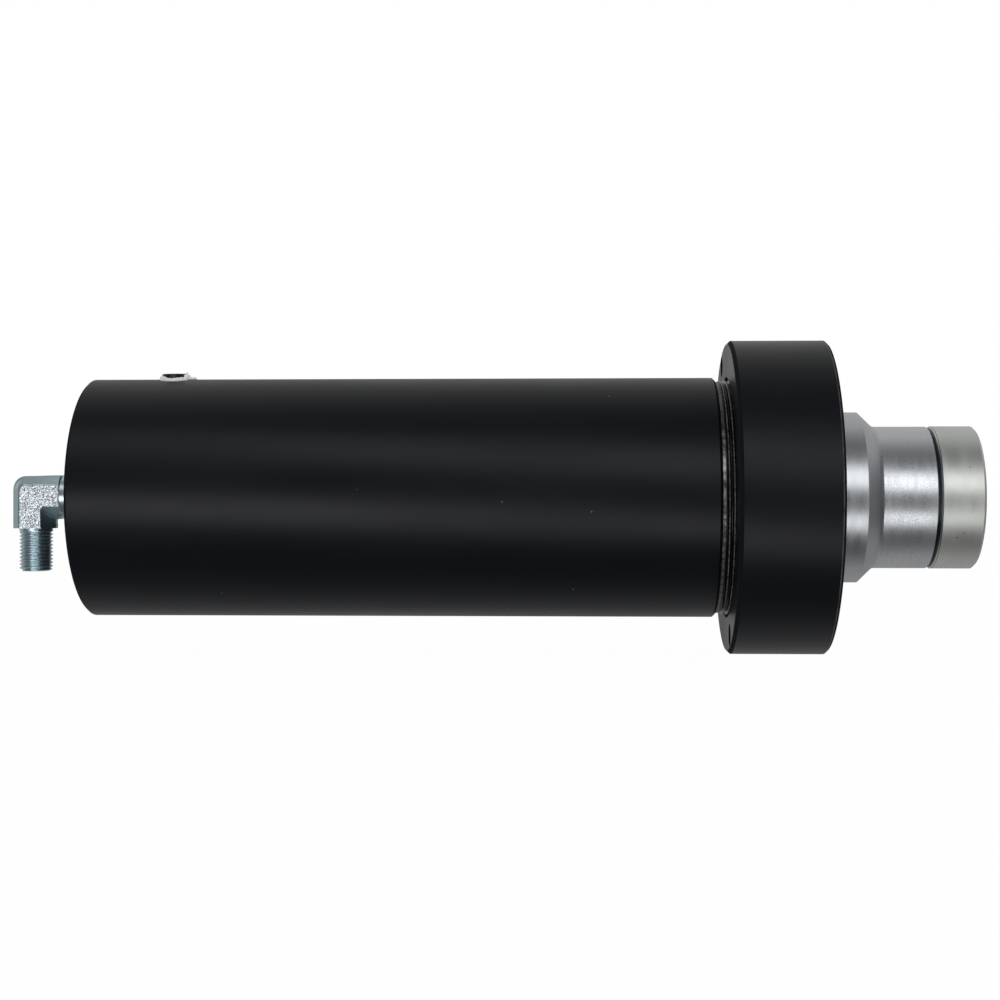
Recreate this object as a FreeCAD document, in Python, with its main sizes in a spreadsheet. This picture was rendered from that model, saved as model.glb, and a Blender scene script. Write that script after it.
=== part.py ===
# Single-acting hydraulic ram of a workshop press, lying along X with its working end towards +X.
# A thick barrel is closed at the rear by a screwed base plug, which takes the oil elbow, and at the
# front by a screwed gland. A heavy collar on the barrel's front thread seats under the press beam.
# The hollow ram carries its piston and seals at the rear and a loose pressure saddle at the front,
# and a spring round a tie rod draws it back. The origin is on the axis, in the plane of the
# collar's seat face. The side port and the elbow's outlet are up and down, along Z.
import FreeCAD, Part
import math
import os
import re

import Sketcher
from FreeCAD import Placement, Rotation, Vector

# Driving dimensions in millimetres and degrees: name, value, what it is.
SIZES = [
    ("barrel_bore", 80.0, "bore that the piston runs in"),
    ("barrel_wall", 10.0, "wall of the barrel"),
    ("rear_to_seat", 266.6, "barrel's rear face to the collar's seat face"),
    ("front_to_seat", 38.4, "collar's seat face to the barrel's front face"),
    ("edge_chamfer", 1.1, "chamfer on the barrel's edges"),
    ("shoulder_gap", 5.1, "full diameter of the barrel ends this far behind the seat face"),
    ("relief_depth", 1.7, "depth of the bare band between shoulder and thread"),
    ("relief_len", 1.7, "width of the bare band"),
    ("thread_step", 1.0, "crests of the collar thread lie this far inside the barrel's outside"),
    ("thread_depth", 1.2, "depth of the collar thread, shown where it is bare"),
    ("thread_bare", 2.2, "bare thread reaches this far into the collar's mouth"),
    ("end_step", 3.0, "thread of gland and base plug lies this far outside the bore"),
    ("fit_gap", 0.05, "radial gap in threads and static fits"),
    ("run_gap", 0.05, "radial gap in running fits"),
    ("port_to_rear", 34.7, "side port's axis to the barrel's rear face"),
    ("port_tilt", 5.5, "side port's axis leans this far from +Z towards -Y"),
    ("port_od", 14.0, "thread of the side port, the rear port and the elbow"),
    ("oil_bore", 7.0, "oil drillings"),
    ("collar_od", 130.7, "outside of the collar"),
    ("collar_len", 40.5, "length of the collar"),
    ("collar_chamfer", 1.5, "chamfer on the collar's rear edge"),
    ("front_chamfer", 1.0, "chamfer on the collar's front edge"),
    ("mouth_chamfer", 1.3, "chamfer on the collar's bore"),
    ("bolt_circle", 118.4, "circle of the collar's tapped holes"),
    ("bolt_tilt", 18.4, "upper tapped hole stands this far from +Z towards +Y"),
    ("bolt_drill", 8.5, "tapping drill of the collar's holes"),
    ("bolt_depth", 22.0, "depth of the collar's holes"),
    ("bolt_mouth", 0.35, "chamfer at the mouth of the collar's holes"),
    ("base_len", 30.0, "length of the base plug"),
    ("base_thread_len", 18.0, "screwed length of the base plug"),
    ("port_depth", 14.0, "tapped depth of the rear port"),
    ("pin_hole", 8.0, "pin spanner holes in the base plug"),
    ("pin_circle", 64.0, "circle of the pin spanner holes"),
    ("pin_depth", 8.0, "depth of the pin spanner holes"),
    ("base_groove", 5.4, "width of the base plug's seal groove"),
    ("base_groove_at", 21.5, "groove's start from the plug's rear face"),
    ("cord_width", 3.5, "section of the static O-rings"),
    ("backup_len", 1.5, "width of the base plug's backup ring"),
    ("gland_len", 59.2, "length of the gland"),
    ("gland_pilot", 25.0, "plain pilot at the gland's rear"),
    ("band_len", 9.8, "width of the guide bands' grooves"),
    ("band_wall", 2.5, "thickness of the guide bands"),
    ("gland_band_at", 7.0, "guide band groove from the gland's rear face"),
    ("gland_ring_at", 19.6, "O-ring groove from the gland's rear face"),
    ("gland_groove", 3.9, "width of the gland's O-ring groove"),
    ("static_depth", 2.4, "depth of the gland's O-ring groove"),
    ("wiper_at", 9.0, "wiper groove's start from the gland's front face"),
    ("wiper_len", 6.0, "width of the wiper groove"),
    ("wiper_wall", 4.0, "depth of the wiper groove"),
    ("wiper_mouth", 1.4, "radial room in front of the wiper"),
    ("wiper_lip", 2.4, "wiper's lip stands this far out of its groove"),
    ("slot_width", 6.0, "spanner slots in the gland's face"),
    ("slot_depth", 3.0, "depth of the spanner slots"),
    ("slot_count", 4, "number of spanner slots"),
    ("ram_od", 71.0, "running diameter of the ram"),
    ("ram_bore", 50.0, "hollow of the ram"),
    ("ram_show", 13.2, "ram's full diameter in front of the collar at rest"),
    ("cone_len", 6.2, "length of the cone behind the nose"),
    ("cone_fillet", 2.5, "fillet at the cone's foot"),
    ("nose_od", 59.0, "nose of the ram"),
    ("nose_len", 23.5, "cone's foot to the nose's end face"),
    ("nose_chamfer", 1.2, "chamfer at the nose's end"),
    ("crown", 29.0, "solid nose behind the saddle's end plane"),
    ("spigot_od", 60.0, "thread between ram and piston"),
    ("ram_ring", 2.0, "section of the O-ring between ram and piston"),
    ("small_chamfer", 0.8, "chamfer on small turned edges"),
    ("piston_len", 40.0, "length of the piston"),
    ("piston_web", 12.0, "piston's web at the rear"),
    ("rod_hole", 24.0, "hole in the piston for the tie rod"),
    ("seal_at", 5.0, "piston seal groove from its rear face"),
    ("seal_groove", 13.0, "width of the piston seal's groove"),
    ("seal_wall", 5.0, "depth of the piston seal's groove"),
    ("cup_len", 9.8, "length of the piston's lip seal"),
    ("lip", 1.4, "thickness of the lip seal's lips at their tips"),
    ("lip_notch", 4.5, "depth of the notch between the lips"),
    ("piston_band_at", 23.0, "piston's guide band groove from its rear face"),
    ("stop_len", 15.3, "tie rod's flange that the piston rests on"),
    ("stop_od", 36.0, "diameter of the tie rod's flange"),
    ("rest_gap", 0.2, "piston stands this far off its stop at rest"),
    ("tie_thread", 20.0, "tie rod's rear thread"),
    ("tie_thread_len", 12.0, "screwed length of the tie rod"),
    ("tie_od", 18.0, "shank of the tie rod"),
    ("tie_end_od", 16.0, "tie rod's front thread"),
    ("tie_end_len", 20.0, "length of the tie rod's front thread"),
    ("cross_hole", 6.0, "cross drilling in the tie rod's flange"),
    ("washer_len", 4.0, "thickness of the two spring seats"),
    ("washer_gap", 0.6, "radial room between the rear spring seat and the ram"),
    ("nut_flats", 24.0, "tie rod nut across its flats"),
    ("nut_len", 13.0, "thickness of the tie rod nut"),
    ("nut_to_crown", 3.0, "tie rod's end to the bottom of the ram's hollow"),
    ("wire", 4.0, "wire of the return spring"),
    ("coil_od", 44.0, "return spring over its coils"),
    ("coil_count", 17, "turns of the return spring"),
    ("saddle_od", 59.2, "outside of the saddle"),
    ("saddle_len", 18.2, "saddle in front of the nose"),
    ("saddle_edge", 1.0, "chamfers on the saddle's rim"),
    ("plug_pin_od", 30.0, "saddle's spigot"),
    ("plug_pin_len", 16.0, "length of the saddle's spigot"),
    ("pin_room", 1.0, "room behind the saddle's spigot"),
    ("snap_at", 6.0, "snap ring groove from the spigot's end"),
    ("snap_len", 2.2, "width of the snap ring groove"),
    ("snap_wall", 3.0, "radial width of the snap ring"),
    ("snap_in", 1.8, "depth of the snap ring groove in the spigot"),
    ("snap_slot", 8.0, "gap in the snap ring"),
    ("port_plug_top", 2.4, "port plug stands this far above the barrel"),
    ("port_plug_len", 10.9, "length of the port plug"),
    ("socket_flats", 6.0, "hexagon socket of the port plug"),
    ("socket_depth", 5.5, "depth of the hexagon socket"),
    ("plug_taper", 2.2, "port plug's radius is this much less at its top edge"),
    ("tape_wall", 0.45, "wrapped sealing tape at the plug's foot"),
    ("tape_rise", 1.4, "tape stands this far above the barrel"),
    ("elbow_reach", 26.0, "barrel's rear face to the elbow's outlet axis"),
    ("forging", 18.2, "width of the elbow's arms, in the plane of its bend"),
    ("forging_depth", 14.5, "thickness of the elbow's arms"),
    ("forging_bevel", 3.75, "bevel along the elbow's outer edges, in the plane of its bend"),
    ("forging_slope", 5.0, "bevel along the edges inside its bend, in the same plane"),
    ("bevel_depth", 3.0, "outer bevel across the elbow's thickness"),
    ("slope_depth", 5.6, "inner bevel across the elbow's thickness"),
    ("forging_corner", 6.0, "rounding of the elbow's outer corner"),
    ("arm_in", 12.0, "elbow's outlet axis to the end of its inlet arm"),
    ("arm_out", 13.1, "elbow's inlet axis to the end of its outlet arm"),
    ("elbow_collar_od", 18.8, "turned collar of the elbow's inlet arm"),
    ("elbow_collar_len", 4.6, "inlet arm's end to the front of that collar"),
    ("elbow_neck_od", 12.6, "neck between the inlet arm and its collar"),
    ("elbow_neck_len", 0.8, "length of that neck"),
    ("outlet_len", 31.3, "elbow's inlet axis to its outlet face"),
    ("undercut_od", 11.9, "undercut beside the elbow's inlet thread"),
    ("undercut_len", 1.6, "width of that undercut"),
    ("stud_in_port", 11.0, "elbow's stud in the rear port"),
    ("locknut_flats", 19.0, "elbow's locknut across its flats"),
    ("locknut_len", 6.8, "thickness of the locknut"),
    ("locknut_turn", 8.0, "locknut's turn about its axis"),
    ("elbow_washer_od", 20.5, "elbow's washer"),
    ("elbow_washer_len", 1.7, "thickness of the elbow's washer"),
    ("lock_screw", 4.0, "screw that locks the piston's thread"),
    ("lock_screw_sink", 1.9, "lock screw ends this far below the piston's surface"),
    ("lock_screw_key", 2.0, "hexagon socket of that screw"),
    ("lock_screw_at", 3.4, "lock screw's axis to the piston's front face"),
]
FULL_TURN = 360

doc = FreeCAD.newDocument("hydraulic_ram")
sheet = doc.addObject("Spreadsheet::Sheet", "Sizes")
for row, (alias, number, note) in enumerate(SIZES, start=1):
    sheet.set(f"A{row}", alias)
    sheet.set(f"B{row}", str(number))
    sheet.setAlias(f"B{row}", alias)
    sheet.set(f"C{row}", note)
doc.recompute()
NAMES = {alias for alias, _, _ in SIZES}
# Diameters worked out from those sizes.
WORKED_OUT = {
    "barrel_od": "(barrel_bore + 2 * barrel_wall)",
    "relief_od": "(barrel_od - 2 * relief_depth)",
    "thread_od": "(barrel_od - 2 * thread_step)",
    "thread_root": "(thread_od - 2 * thread_depth)",
    "end_thread": "(barrel_bore + 2 * end_step)",
}
parts = []

# Places along X that several pieces share.
REAR = "-rear_to_seat"
PISTON_REAR = "(-rear_to_seat + base_len + stop_len + rest_gap)"
PISTON_FRONT = f"({PISTON_REAR} + piston_len)"
SPIGOT = "(piston_len - piston_web - ram_ring)"
RAM_REAR = f"({PISTON_FRONT} - {SPIGOT})"
CONE_START = "(collar_len + ram_show)"
NOSE_END = f"({CONE_START} + cone_len + nose_len)"
HOLLOW_END = f"({NOSE_END} - crown)"
GLAND_REAR = "(front_to_seat - gland_len)"
TIE_REAR = "(-rear_to_seat + base_len - tie_thread_len)"
TIE_SHOULDER = f"({HOLLOW_END} - nut_to_crown - tie_end_len)"
SEAT_REAR = f"({PISTON_REAR} + piston_web)"
ELBOW_AXIS = "(-rear_to_seat - elbow_reach)"


def bound(expression):
    """The expression with each size's name pointing at its cell."""
    def cell(match):
        word = match[0]
        if word in WORKED_OUT:
            return bound(WORKED_OUT[word])
        return f"Sizes.{word}" if word in NAMES else word
    return re.sub(r"[a-z][a-z_]*", cell, str(expression))


def value(expression):
    """The expression's number with the sizes as they are."""
    return float(sheet.evalExpression(bound(expression)))


def new_body(label, x="0", turn=None):
    """A body whose own X origin is at x on the axis, turned about X."""
    body = doc.addObject("PartDesign::Body", label)
    body.Label = label
    body.Placement = Placement(Vector(value(x), 0, 0), Rotation(Vector(1, 0, 0), value(turn or "0")))
    body.setExpression("Placement.Base.x", bound(x))
    if turn:
        body.setExpression("Placement.Rotation.Angle", bound(f"({turn}) * 1 deg"))
    parts.append(body)
    return body


def plane(body, role):
    """One of the body's own origin planes."""
    return next(f for f in body.Origin.OriginFeatures if f.Role == role)


def new_sketch(body, role, offset=None, turn=None):
    """A sketch on an origin plane, moved along its normal and turned about its first axis."""
    sketch = body.newObject("Sketcher::SketchObject", "Sketch")
    sketch.AttachmentSupport = (plane(body, role), [""])
    sketch.MapMode = "FlatFace"
    if offset or turn:
        sketch.AttachmentOffset = Placement(
            Vector(0, 0, value(offset or "0")), Rotation(Vector(1, 0, 0), value(turn or "0")))
    if offset:
        sketch.setExpression("AttachmentOffset.Base.z", bound(offset))
    if turn:
        sketch.setExpression("AttachmentOffset.Rotation.Angle", bound(f"({turn}) * 1 deg"))
    return sketch


def dimension(sketch, kind, *where_and_size):
    """A dimension of the sketch that follows its expression."""
    *where, expression = where_and_size
    index = sketch.addConstraint(Sketcher.Constraint(kind, *where, value(expression)))
    sketch.setExpression(f"Constraints[{index}]", bound(expression))


def outline(sketch, points):
    """A closed outline of straight lines through the points, each two expressions."""
    corners = [Vector(value(x), value(y), 0) for x, y in points]
    count = len(points)
    lines = [Part.LineSegment(corners[i], corners[(i + 1) % count]) for i in range(count)]
    first = sketch.addGeometry(lines, False)[0]
    for i in range(count):
        sketch.addConstraint(Sketcher.Constraint("Coincident", first + i, 2, first + (i + 1) % count, 1))
    for i, (x, y) in enumerate(points):
        before_x, before_y = points[i - 1]
        for text, before, kind, axis, level in (
                (x, before_x, "DistanceX", -2, "Vertical"), (y, before_y, "DistanceY", -1, "Horizontal")):
            if text == before and i > 0:
                sketch.addConstraint(Sketcher.Constraint(level, first + i - 1))
            elif text == "0":
                sketch.addConstraint(Sketcher.Constraint("PointOnObject", first + i, 1, axis))
            else:
                dimension(sketch, kind, -1, 1, first + i, 1, text)


def circle(sketch, x, y, radius):
    """A circle whose centre and radius follow their expressions."""
    spot = Vector(value(x), value(y), 0)
    index = sketch.addGeometry(Part.Circle(spot, Vector(0, 0, 1), value(radius)), False)
    dimension(sketch, "Radius", index, radius)
    for text, kind, axis in ((x, "DistanceX", -2), (y, "DistanceY", -1)):
        if text == "0":
            sketch.addConstraint(Sketcher.Constraint("PointOnObject", index, 3, axis))
        else:
            dimension(sketch, kind, -1, 1, index, 3, text)


def polygon(sketch, sides, flats):
    """A regular polygon round the origin, with a flat upwards, across its flats."""
    radius = f"{flats} / 2 / cos(180 deg / {sides})"
    angles = [math.pi / 2 + math.pi / sides * (2 * k + 1) for k in range(sides)]
    size = value(radius)
    corners = [Vector(size * math.cos(a), size * math.sin(a), 0) for a in angles]
    first = sketch.addGeometry(
        [Part.LineSegment(corners[k], corners[(k + 1) % sides]) for k in range(sides)], False)[0]
    ring = sketch.addGeometry(Part.Circle(Vector(), Vector(0, 0, 1), size), True)
    sketch.addConstraint(Sketcher.Constraint("Coincident", ring, 3, -1, 1))
    dimension(sketch, "Radius", ring, radius)
    for k in range(sides):
        sketch.addConstraint(Sketcher.Constraint("Coincident", first + k, 2, first + (k + 1) % sides, 1))
        sketch.addConstraint(Sketcher.Constraint("PointOnObject", first + k, 1, ring))
        if k:
            sketch.addConstraint(Sketcher.Constraint("Equal", first, first + k))
    sketch.addConstraint(Sketcher.Constraint("Horizontal", first + sides - 1))


def feature(body, kind, sketch, **settings):
    """A feature of that kind on the sketch; a setting given as text is an expression."""
    made = body.newObject(f"PartDesign::{kind}", kind)
    made.Profile = sketch
    sketch.Visibility = False
    for name, setting in settings.items():
        if isinstance(setting, str) and name in ("Length", "Angle", "Pitch", "Height"):
            setattr(made, name, value(setting))
            made.setExpression(name, bound(setting))
        else:
            setattr(made, name, setting)
    return made


def revolve(body, points, kind="Revolution", axis="H_Axis", offset=None):
    """A full turn of the outline about the sketch's own axis."""
    sketch = new_sketch(body, "XZ_Plane", offset)
    outline(sketch, points)
    return feature(body, kind, sketch, ReferenceAxis=(sketch, [axis]), Angle=FULL_TURN)


def turned(label, x, points, turn=None):
    """A piece turned about X: its outline is drawn from its rear face, with radii upwards."""
    body = new_body(label, x, turn)
    revolve(body, points)
    return body


def drilled(body, spots, diameter, depth, role="YZ_Plane", offset=None, turn=None, towards=True):
    """Round holes of that depth, cut towards the plane's normal or against it."""
    sketch = new_sketch(body, role, offset, turn)
    for x, y in spots:
        circle(sketch, x, y, f"({diameter}) / 2")
    return feature(body, "Pocket", sketch, Length=depth, Reversed=towards)


def rounded_ring(label, x, centre_radius, section):
    """An O-ring: a circle turned about X."""
    body = new_body(label, x)
    sketch = new_sketch(body, "XZ_Plane")
    circle(sketch, f"({section}) / 2", centre_radius, f"({section}) / 2")
    feature(body, "Revolution", sketch, ReferenceAxis=(sketch, ["H_Axis"]), Angle=FULL_TURN)
    return body


def square_ring(label, x, inner, outer, length):
    """A plain ring between two radii."""
    return turned(label, x, [("0", inner), ("0", outer), (length, outer), (length, inner)])


def hex_nut(label, x, flats, bore, length, turn=None):
    """A hexagon nut along X with both ends turned to a cone."""
    body = new_body(label, x, turn)
    sketch = new_sketch(body, "YZ_Plane")
    polygon(sketch, 6, flats)
    circle(sketch, "0", "0", bore)
    feature(body, "Pad", sketch, Length=length)
    corner = f"({flats} / 2 / cos(30 deg))"
    bevel = f"({corner} - {flats} / 2 + 0.2)"
    reach = f"({corner} + 0.5)"
    low = f"({corner} - {bevel})"
    for near, far in (("0", f"{bevel} / 2"), (length, f"{length} - {bevel} / 2")):
        revolve(body, [(near, low), (far, corner), (far, reach), (near, reach)], kind="Groove")
    return body


def barrel():
    """The barrel: thick tube, threaded at both ends inside and at the front outside."""
    shoulder = "rear_to_seat - shoulder_gap"
    bare = "rear_to_seat + thread_bare"
    front = "rear_to_seat + front_to_seat"
    gland_seat = f"{front} - gland_len + gland_pilot"
    body = turned("barrel", REAR, [
        ("0", "end_thread / 2"),
        ("0", "barrel_od / 2 - edge_chamfer"),
        ("edge_chamfer", "barrel_od / 2"),
        (f"{shoulder} - edge_chamfer", "barrel_od / 2"),
        (shoulder, "barrel_od / 2 - edge_chamfer"),
        (shoulder, "relief_od / 2"),
        (f"{shoulder} + relief_len", "relief_od / 2"),
        (f"{shoulder} + relief_len", "thread_root / 2"),
        (bare, "thread_root / 2"),
        (bare, "thread_od / 2"),
        (f"{front} - edge_chamfer", "thread_od / 2"),
        (front, "thread_od / 2 - edge_chamfer"),
        (front, "end_thread / 2"),
        (gland_seat, "end_thread / 2"),
        (gland_seat, "barrel_bore / 2"),
        ("base_thread_len", "barrel_bore / 2"),
        ("base_thread_len", "end_thread / 2"),
    ])
    drilled(body, [("port_to_rear", "0")], "port_od", "barrel_od", "XY_Plane", turn="port_tilt")


def collar():
    """The collar that takes the press's force, with two tapped holes in its seat face."""
    bore = "thread_od / 2 + fit_gap"
    body = turned("mounting_collar", "0", [
        ("0", f"{bore} + mouth_chamfer"),
        ("0", "collar_od / 2 - collar_chamfer"),
        ("collar_chamfer", "collar_od / 2"),
        ("collar_len - front_chamfer", "collar_od / 2"),
        ("collar_len", "collar_od / 2 - front_chamfer"),
        ("collar_len", f"{bore} + mouth_chamfer"),
        ("collar_len - mouth_chamfer", bore),
        ("mouth_chamfer", bore),
    ], turn="-bolt_tilt")
    holes = [("0", "bolt_circle / 2"), ("0", "-bolt_circle / 2")]
    drilled(body, holes, "bolt_drill", "bolt_depth")
    for _, radius in holes:
        drilled(body, [("0", radius)], "bolt_drill + 2 * bolt_mouth", "bolt_mouth")


def base_plug():
    """The screwed rear end of the barrel, with the rear oil port in its middle."""
    groove_end = "base_groove_at + base_groove"
    pilot = "barrel_bore / 2 - fit_gap"
    thread = "end_thread / 2 - fit_gap"
    root = "barrel_bore / 2 - cord_width * 0.8"
    tie_seat = "base_len - tie_thread_len"
    body = turned("base_plug", REAR, [
        ("0", "port_od / 2 + small_chamfer"),
        ("0", f"{thread} - small_chamfer"),
        ("small_chamfer", thread),
        ("base_thread_len", thread),
        ("base_thread_len", pilot),
        ("base_groove_at", pilot),
        ("base_groove_at", root),
        (groove_end, root),
        (groove_end, pilot),
        ("base_len", pilot),
        ("base_len", "tie_thread / 2"),
        (tie_seat, "tie_thread / 2"),
        (tie_seat, "oil_bore / 2"),
        ("port_depth", "oil_bore / 2"),
        ("port_depth", "port_od / 2"),
        ("small_chamfer", "port_od / 2"),
    ])
    drilled(body, [("pin_circle / 2", "0"), ("-pin_circle / 2", "0")], "pin_hole", "pin_depth")
    seal_middle = "barrel_bore / 2 - cord_width * 0.4"
    ring = "cord_width * 0.78"
    rounded_ring("base_o_ring", f"{REAR} + {groove_end} - {ring} - 0.3", seal_middle, ring)
    square_ring("base_backup_ring", f"{REAR} + base_groove_at + fit_gap", f"{root} + fit_gap",
                "barrel_bore / 2 - fit_gap", "backup_len")


def gland():
    """The screwed front bush that guides the ram, with its band, O-ring and wiper."""
    pilot = "barrel_bore / 2 - fit_gap"
    thread = "end_thread / 2 - fit_gap"
    bore = "ram_od / 2 + run_gap"
    band_root = f"{bore} + band_wall"
    band_end = "gland_band_at + band_len"
    ring_end = "gland_ring_at + gland_groove"
    ring_root = "barrel_bore / 2 - static_depth"
    wiper_start = "gland_len - wiper_at"
    wiper_end = f"{wiper_start} + wiper_len"
    wiper_root = f"{bore} + wiper_wall"
    mouth = f"{bore} + wiper_mouth"
    body = turned("gland", GLAND_REAR, [
        ("0", bore),
        ("0", f"{pilot} - small_chamfer"),
        ("small_chamfer", pilot),
        ("gland_ring_at", pilot),
        ("gland_ring_at", ring_root),
        (ring_end, ring_root),
        (ring_end, pilot),
        ("gland_pilot", pilot),
        ("gland_pilot", thread),
        ("gland_len - small_chamfer", thread),
        ("gland_len", f"{thread} - small_chamfer"),
        ("gland_len", mouth),
        (wiper_end, mouth),
        (wiper_end, wiper_root),
        (wiper_start, wiper_root),
        (wiper_start, bore),
        (band_end, bore),
        (band_end, band_root),
        ("gland_band_at", band_root),
        ("gland_band_at", bore),
    ])
    slot = new_sketch(body, "YZ_Plane", "gland_len")
    outer = "end_thread / 2 + fit_gap"
    inner = f"{wiper_root} + 0.4"
    outline(slot, [("-slot_width / 2", inner), ("-slot_width / 2", outer),
                   ("slot_width / 2", outer), ("slot_width / 2", inner)])
    cut = feature(body, "Pocket", slot, Length="slot_depth")
    pattern = body.newObject("PartDesign::PolarPattern", "PolarPattern")
    pattern.Originals = [cut]
    pattern.Axis = (next(f for f in body.Origin.OriginFeatures if f.Role == "X_Axis"), [""])
    pattern.Angle = FULL_TURN
    pattern.Occurrences = int(value("slot_count"))
    pattern.setExpression("Occurrences", bound("slot_count"))
    body.Tip = pattern
    square_ring("gland_guide_band", f"{GLAND_REAR} + gland_band_at + fit_gap", bore,
                f"{band_root} - fit_gap", "band_len - 2 * fit_gap")
    ring = "static_depth - 2 * fit_gap"
    rounded_ring("gland_o_ring", f"{GLAND_REAR} + gland_ring_at + (gland_groove - ({ring})) / 2",
                 f"{ring_root} + static_depth / 2", ring)
    flat = "wiper_len - fit_gap"
    turned("wiper_seal", f"{GLAND_REAR} + {wiper_start}", [
        ("0", bore),
        ("0", f"{wiper_root} - fit_gap"),
        (flat, f"{wiper_root} - fit_gap"),
        (flat, f"{mouth} - fit_gap"),
        (f"{flat} + wiper_lip", f"{bore} + wiper_mouth / 2"),
        (f"{flat} + wiper_lip", bore),
    ])


def tie_rod():
    """The rod that anchors the spring, screwed into the base plug, with its washer and nut."""
    flange_end = "tie_thread_len + stop_len"
    shoulder = f"{TIE_SHOULDER} - {TIE_REAR}"
    end = f"{shoulder} + tie_end_len"
    inside = "oil_bore / 2"
    drill_end = "tie_thread_len + stop_len / 2 + cross_hole / 2"
    body = turned("tie_rod", TIE_REAR, [
        ("0", inside),
        ("0", "tie_thread / 2 - fit_gap - small_chamfer"),
        ("small_chamfer", "tie_thread / 2 - fit_gap"),
        ("tie_thread_len", "tie_thread / 2 - fit_gap"),
        ("tie_thread_len", "stop_od / 2"),
        (flange_end, "stop_od / 2"),
        (flange_end, "tie_od / 2"),
        (shoulder, "tie_od / 2"),
        (shoulder, "tie_end_od / 2"),
        (f"{end} - small_chamfer", "tie_end_od / 2"),
        (end, "tie_end_od / 2 - small_chamfer"),
        (end, "0"),
        (drill_end, "0"),
        (drill_end, inside),
    ])
    cross = new_sketch(body, "XY_Plane")
    circle(cross, "tie_thread_len + stop_len / 2", "0", "cross_hole / 2")
    feature(body, "Pocket", cross, Length="2 * stop_od", Midplane=True)
    bore = "tie_end_od / 2 + fit_gap"
    seat = "ram_bore / 2 - washer_gap"
    square_ring("tie_rod_washer", TIE_SHOULDER, bore, seat, "washer_len")
    hex_nut("tie_rod_nut", f"{TIE_SHOULDER} + washer_len", "nut_flats", bore, "nut_len")
    square_ring("spring_seat", SEAT_REAR, "rod_hole / 2", seat, "washer_len")


def return_spring():
    """A helix of round wire between the two seats, its ends ground flat by the seats' faces."""
    rear = f"({SEAT_REAR} + washer_len)"
    length = f"({TIE_SHOULDER} - {rear})"
    body = new_body("return_spring", rear)
    sketch = new_sketch(body, "XZ_Plane")
    circle(sketch, "wire / 2", "coil_od / 2 - wire / 2", "wire / 2")
    helix = feature(body, "AdditiveHelix", sketch)
    helix.ReferenceAxis = (sketch, ["H_Axis"])
    helix.Mode = "height-turns-growth"
    helix.Turns = value("coil_count")
    helix.setExpression("Turns", bound("coil_count"))
    helix.Height = value(f"{length} - wire")
    helix.setExpression("Height", bound(f"{length} - wire"))


def piston():
    """The piston on the ram's rear spigot, with its lip seal, backup ring, band and lock screw."""
    running = "barrel_bore / 2 - run_gap"
    seal_root = f"{running} - seal_wall"
    seal_end = "seal_at + seal_groove"
    band_root = f"{running} - band_wall"
    band_end = "piston_band_at + band_len"
    body = turned("piston", PISTON_REAR, [
        ("0", "rod_hole / 2"),
        ("0", f"{running} - small_chamfer"),
        ("small_chamfer", running),
        ("seal_at", running),
        ("seal_at", seal_root),
        (seal_end, seal_root),
        (seal_end, running),
        ("piston_band_at", running),
        ("piston_band_at", band_root),
        (band_end, band_root),
        (band_end, running),
        ("piston_len - small_chamfer", running),
        ("piston_len", f"{running} - small_chamfer"),
        ("piston_len", "spigot_od / 2 + fit_gap"),
        ("piston_web", "spigot_od / 2 + fit_gap"),
        ("piston_web", "rod_hole / 2"),
    ])
    drilled(body, [("piston_len - lock_screw_at", "0")], "lock_screw", "barrel_bore", "XY_Plane")
    screw = new_body("piston_lock_screw", f"{PISTON_FRONT} - lock_screw_at")
    low = "spigot_od / 2 + fit_gap"
    high = f"{running} - lock_screw_sink"
    side = "lock_screw / 2 - fit_gap"
    revolve(screw, [("0", low), (f"{side} - small_chamfer", low), (side, f"{low} + small_chamfer"),
                    (side, high), ("0", high)], axis="V_Axis")
    key = new_sketch(screw, "XY_Plane", high)
    polygon(key, 6, "lock_screw_key")
    feature(screw, "Pocket", key, Length="lock_screw_key")
    rounded_ring("ram_o_ring", SEAT_REAR, "(ram_bore + spigot_od) / 4", "ram_ring")
    tip = "cup_len"
    seal_in = f"{seal_root} + fit_gap"
    turned("piston_lip_seal", f"{PISTON_REAR} + seal_at + fit_gap", [
        ("0", f"{running} - lip"),
        ("0", running),
        (tip, running),
        (tip, seal_in),
        ("0", seal_in),
        ("0", f"{seal_in} + lip"),
        ("lip_notch", f"{seal_root} + seal_wall / 2 - lip / 4"),
        ("lip_notch", f"{seal_root} + seal_wall / 2 + lip / 4"),
    ])
    square_ring("piston_backup_ring", f"{PISTON_REAR} + seal_at + 2 * fit_gap + cup_len", seal_in,
                running, "seal_groove - cup_len - 3 * fit_gap")
    square_ring("piston_guide_band", f"{PISTON_REAR} + piston_band_at + fit_gap", f"{band_root} + fit_gap",
                running, "band_len - 2 * fit_gap")


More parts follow.
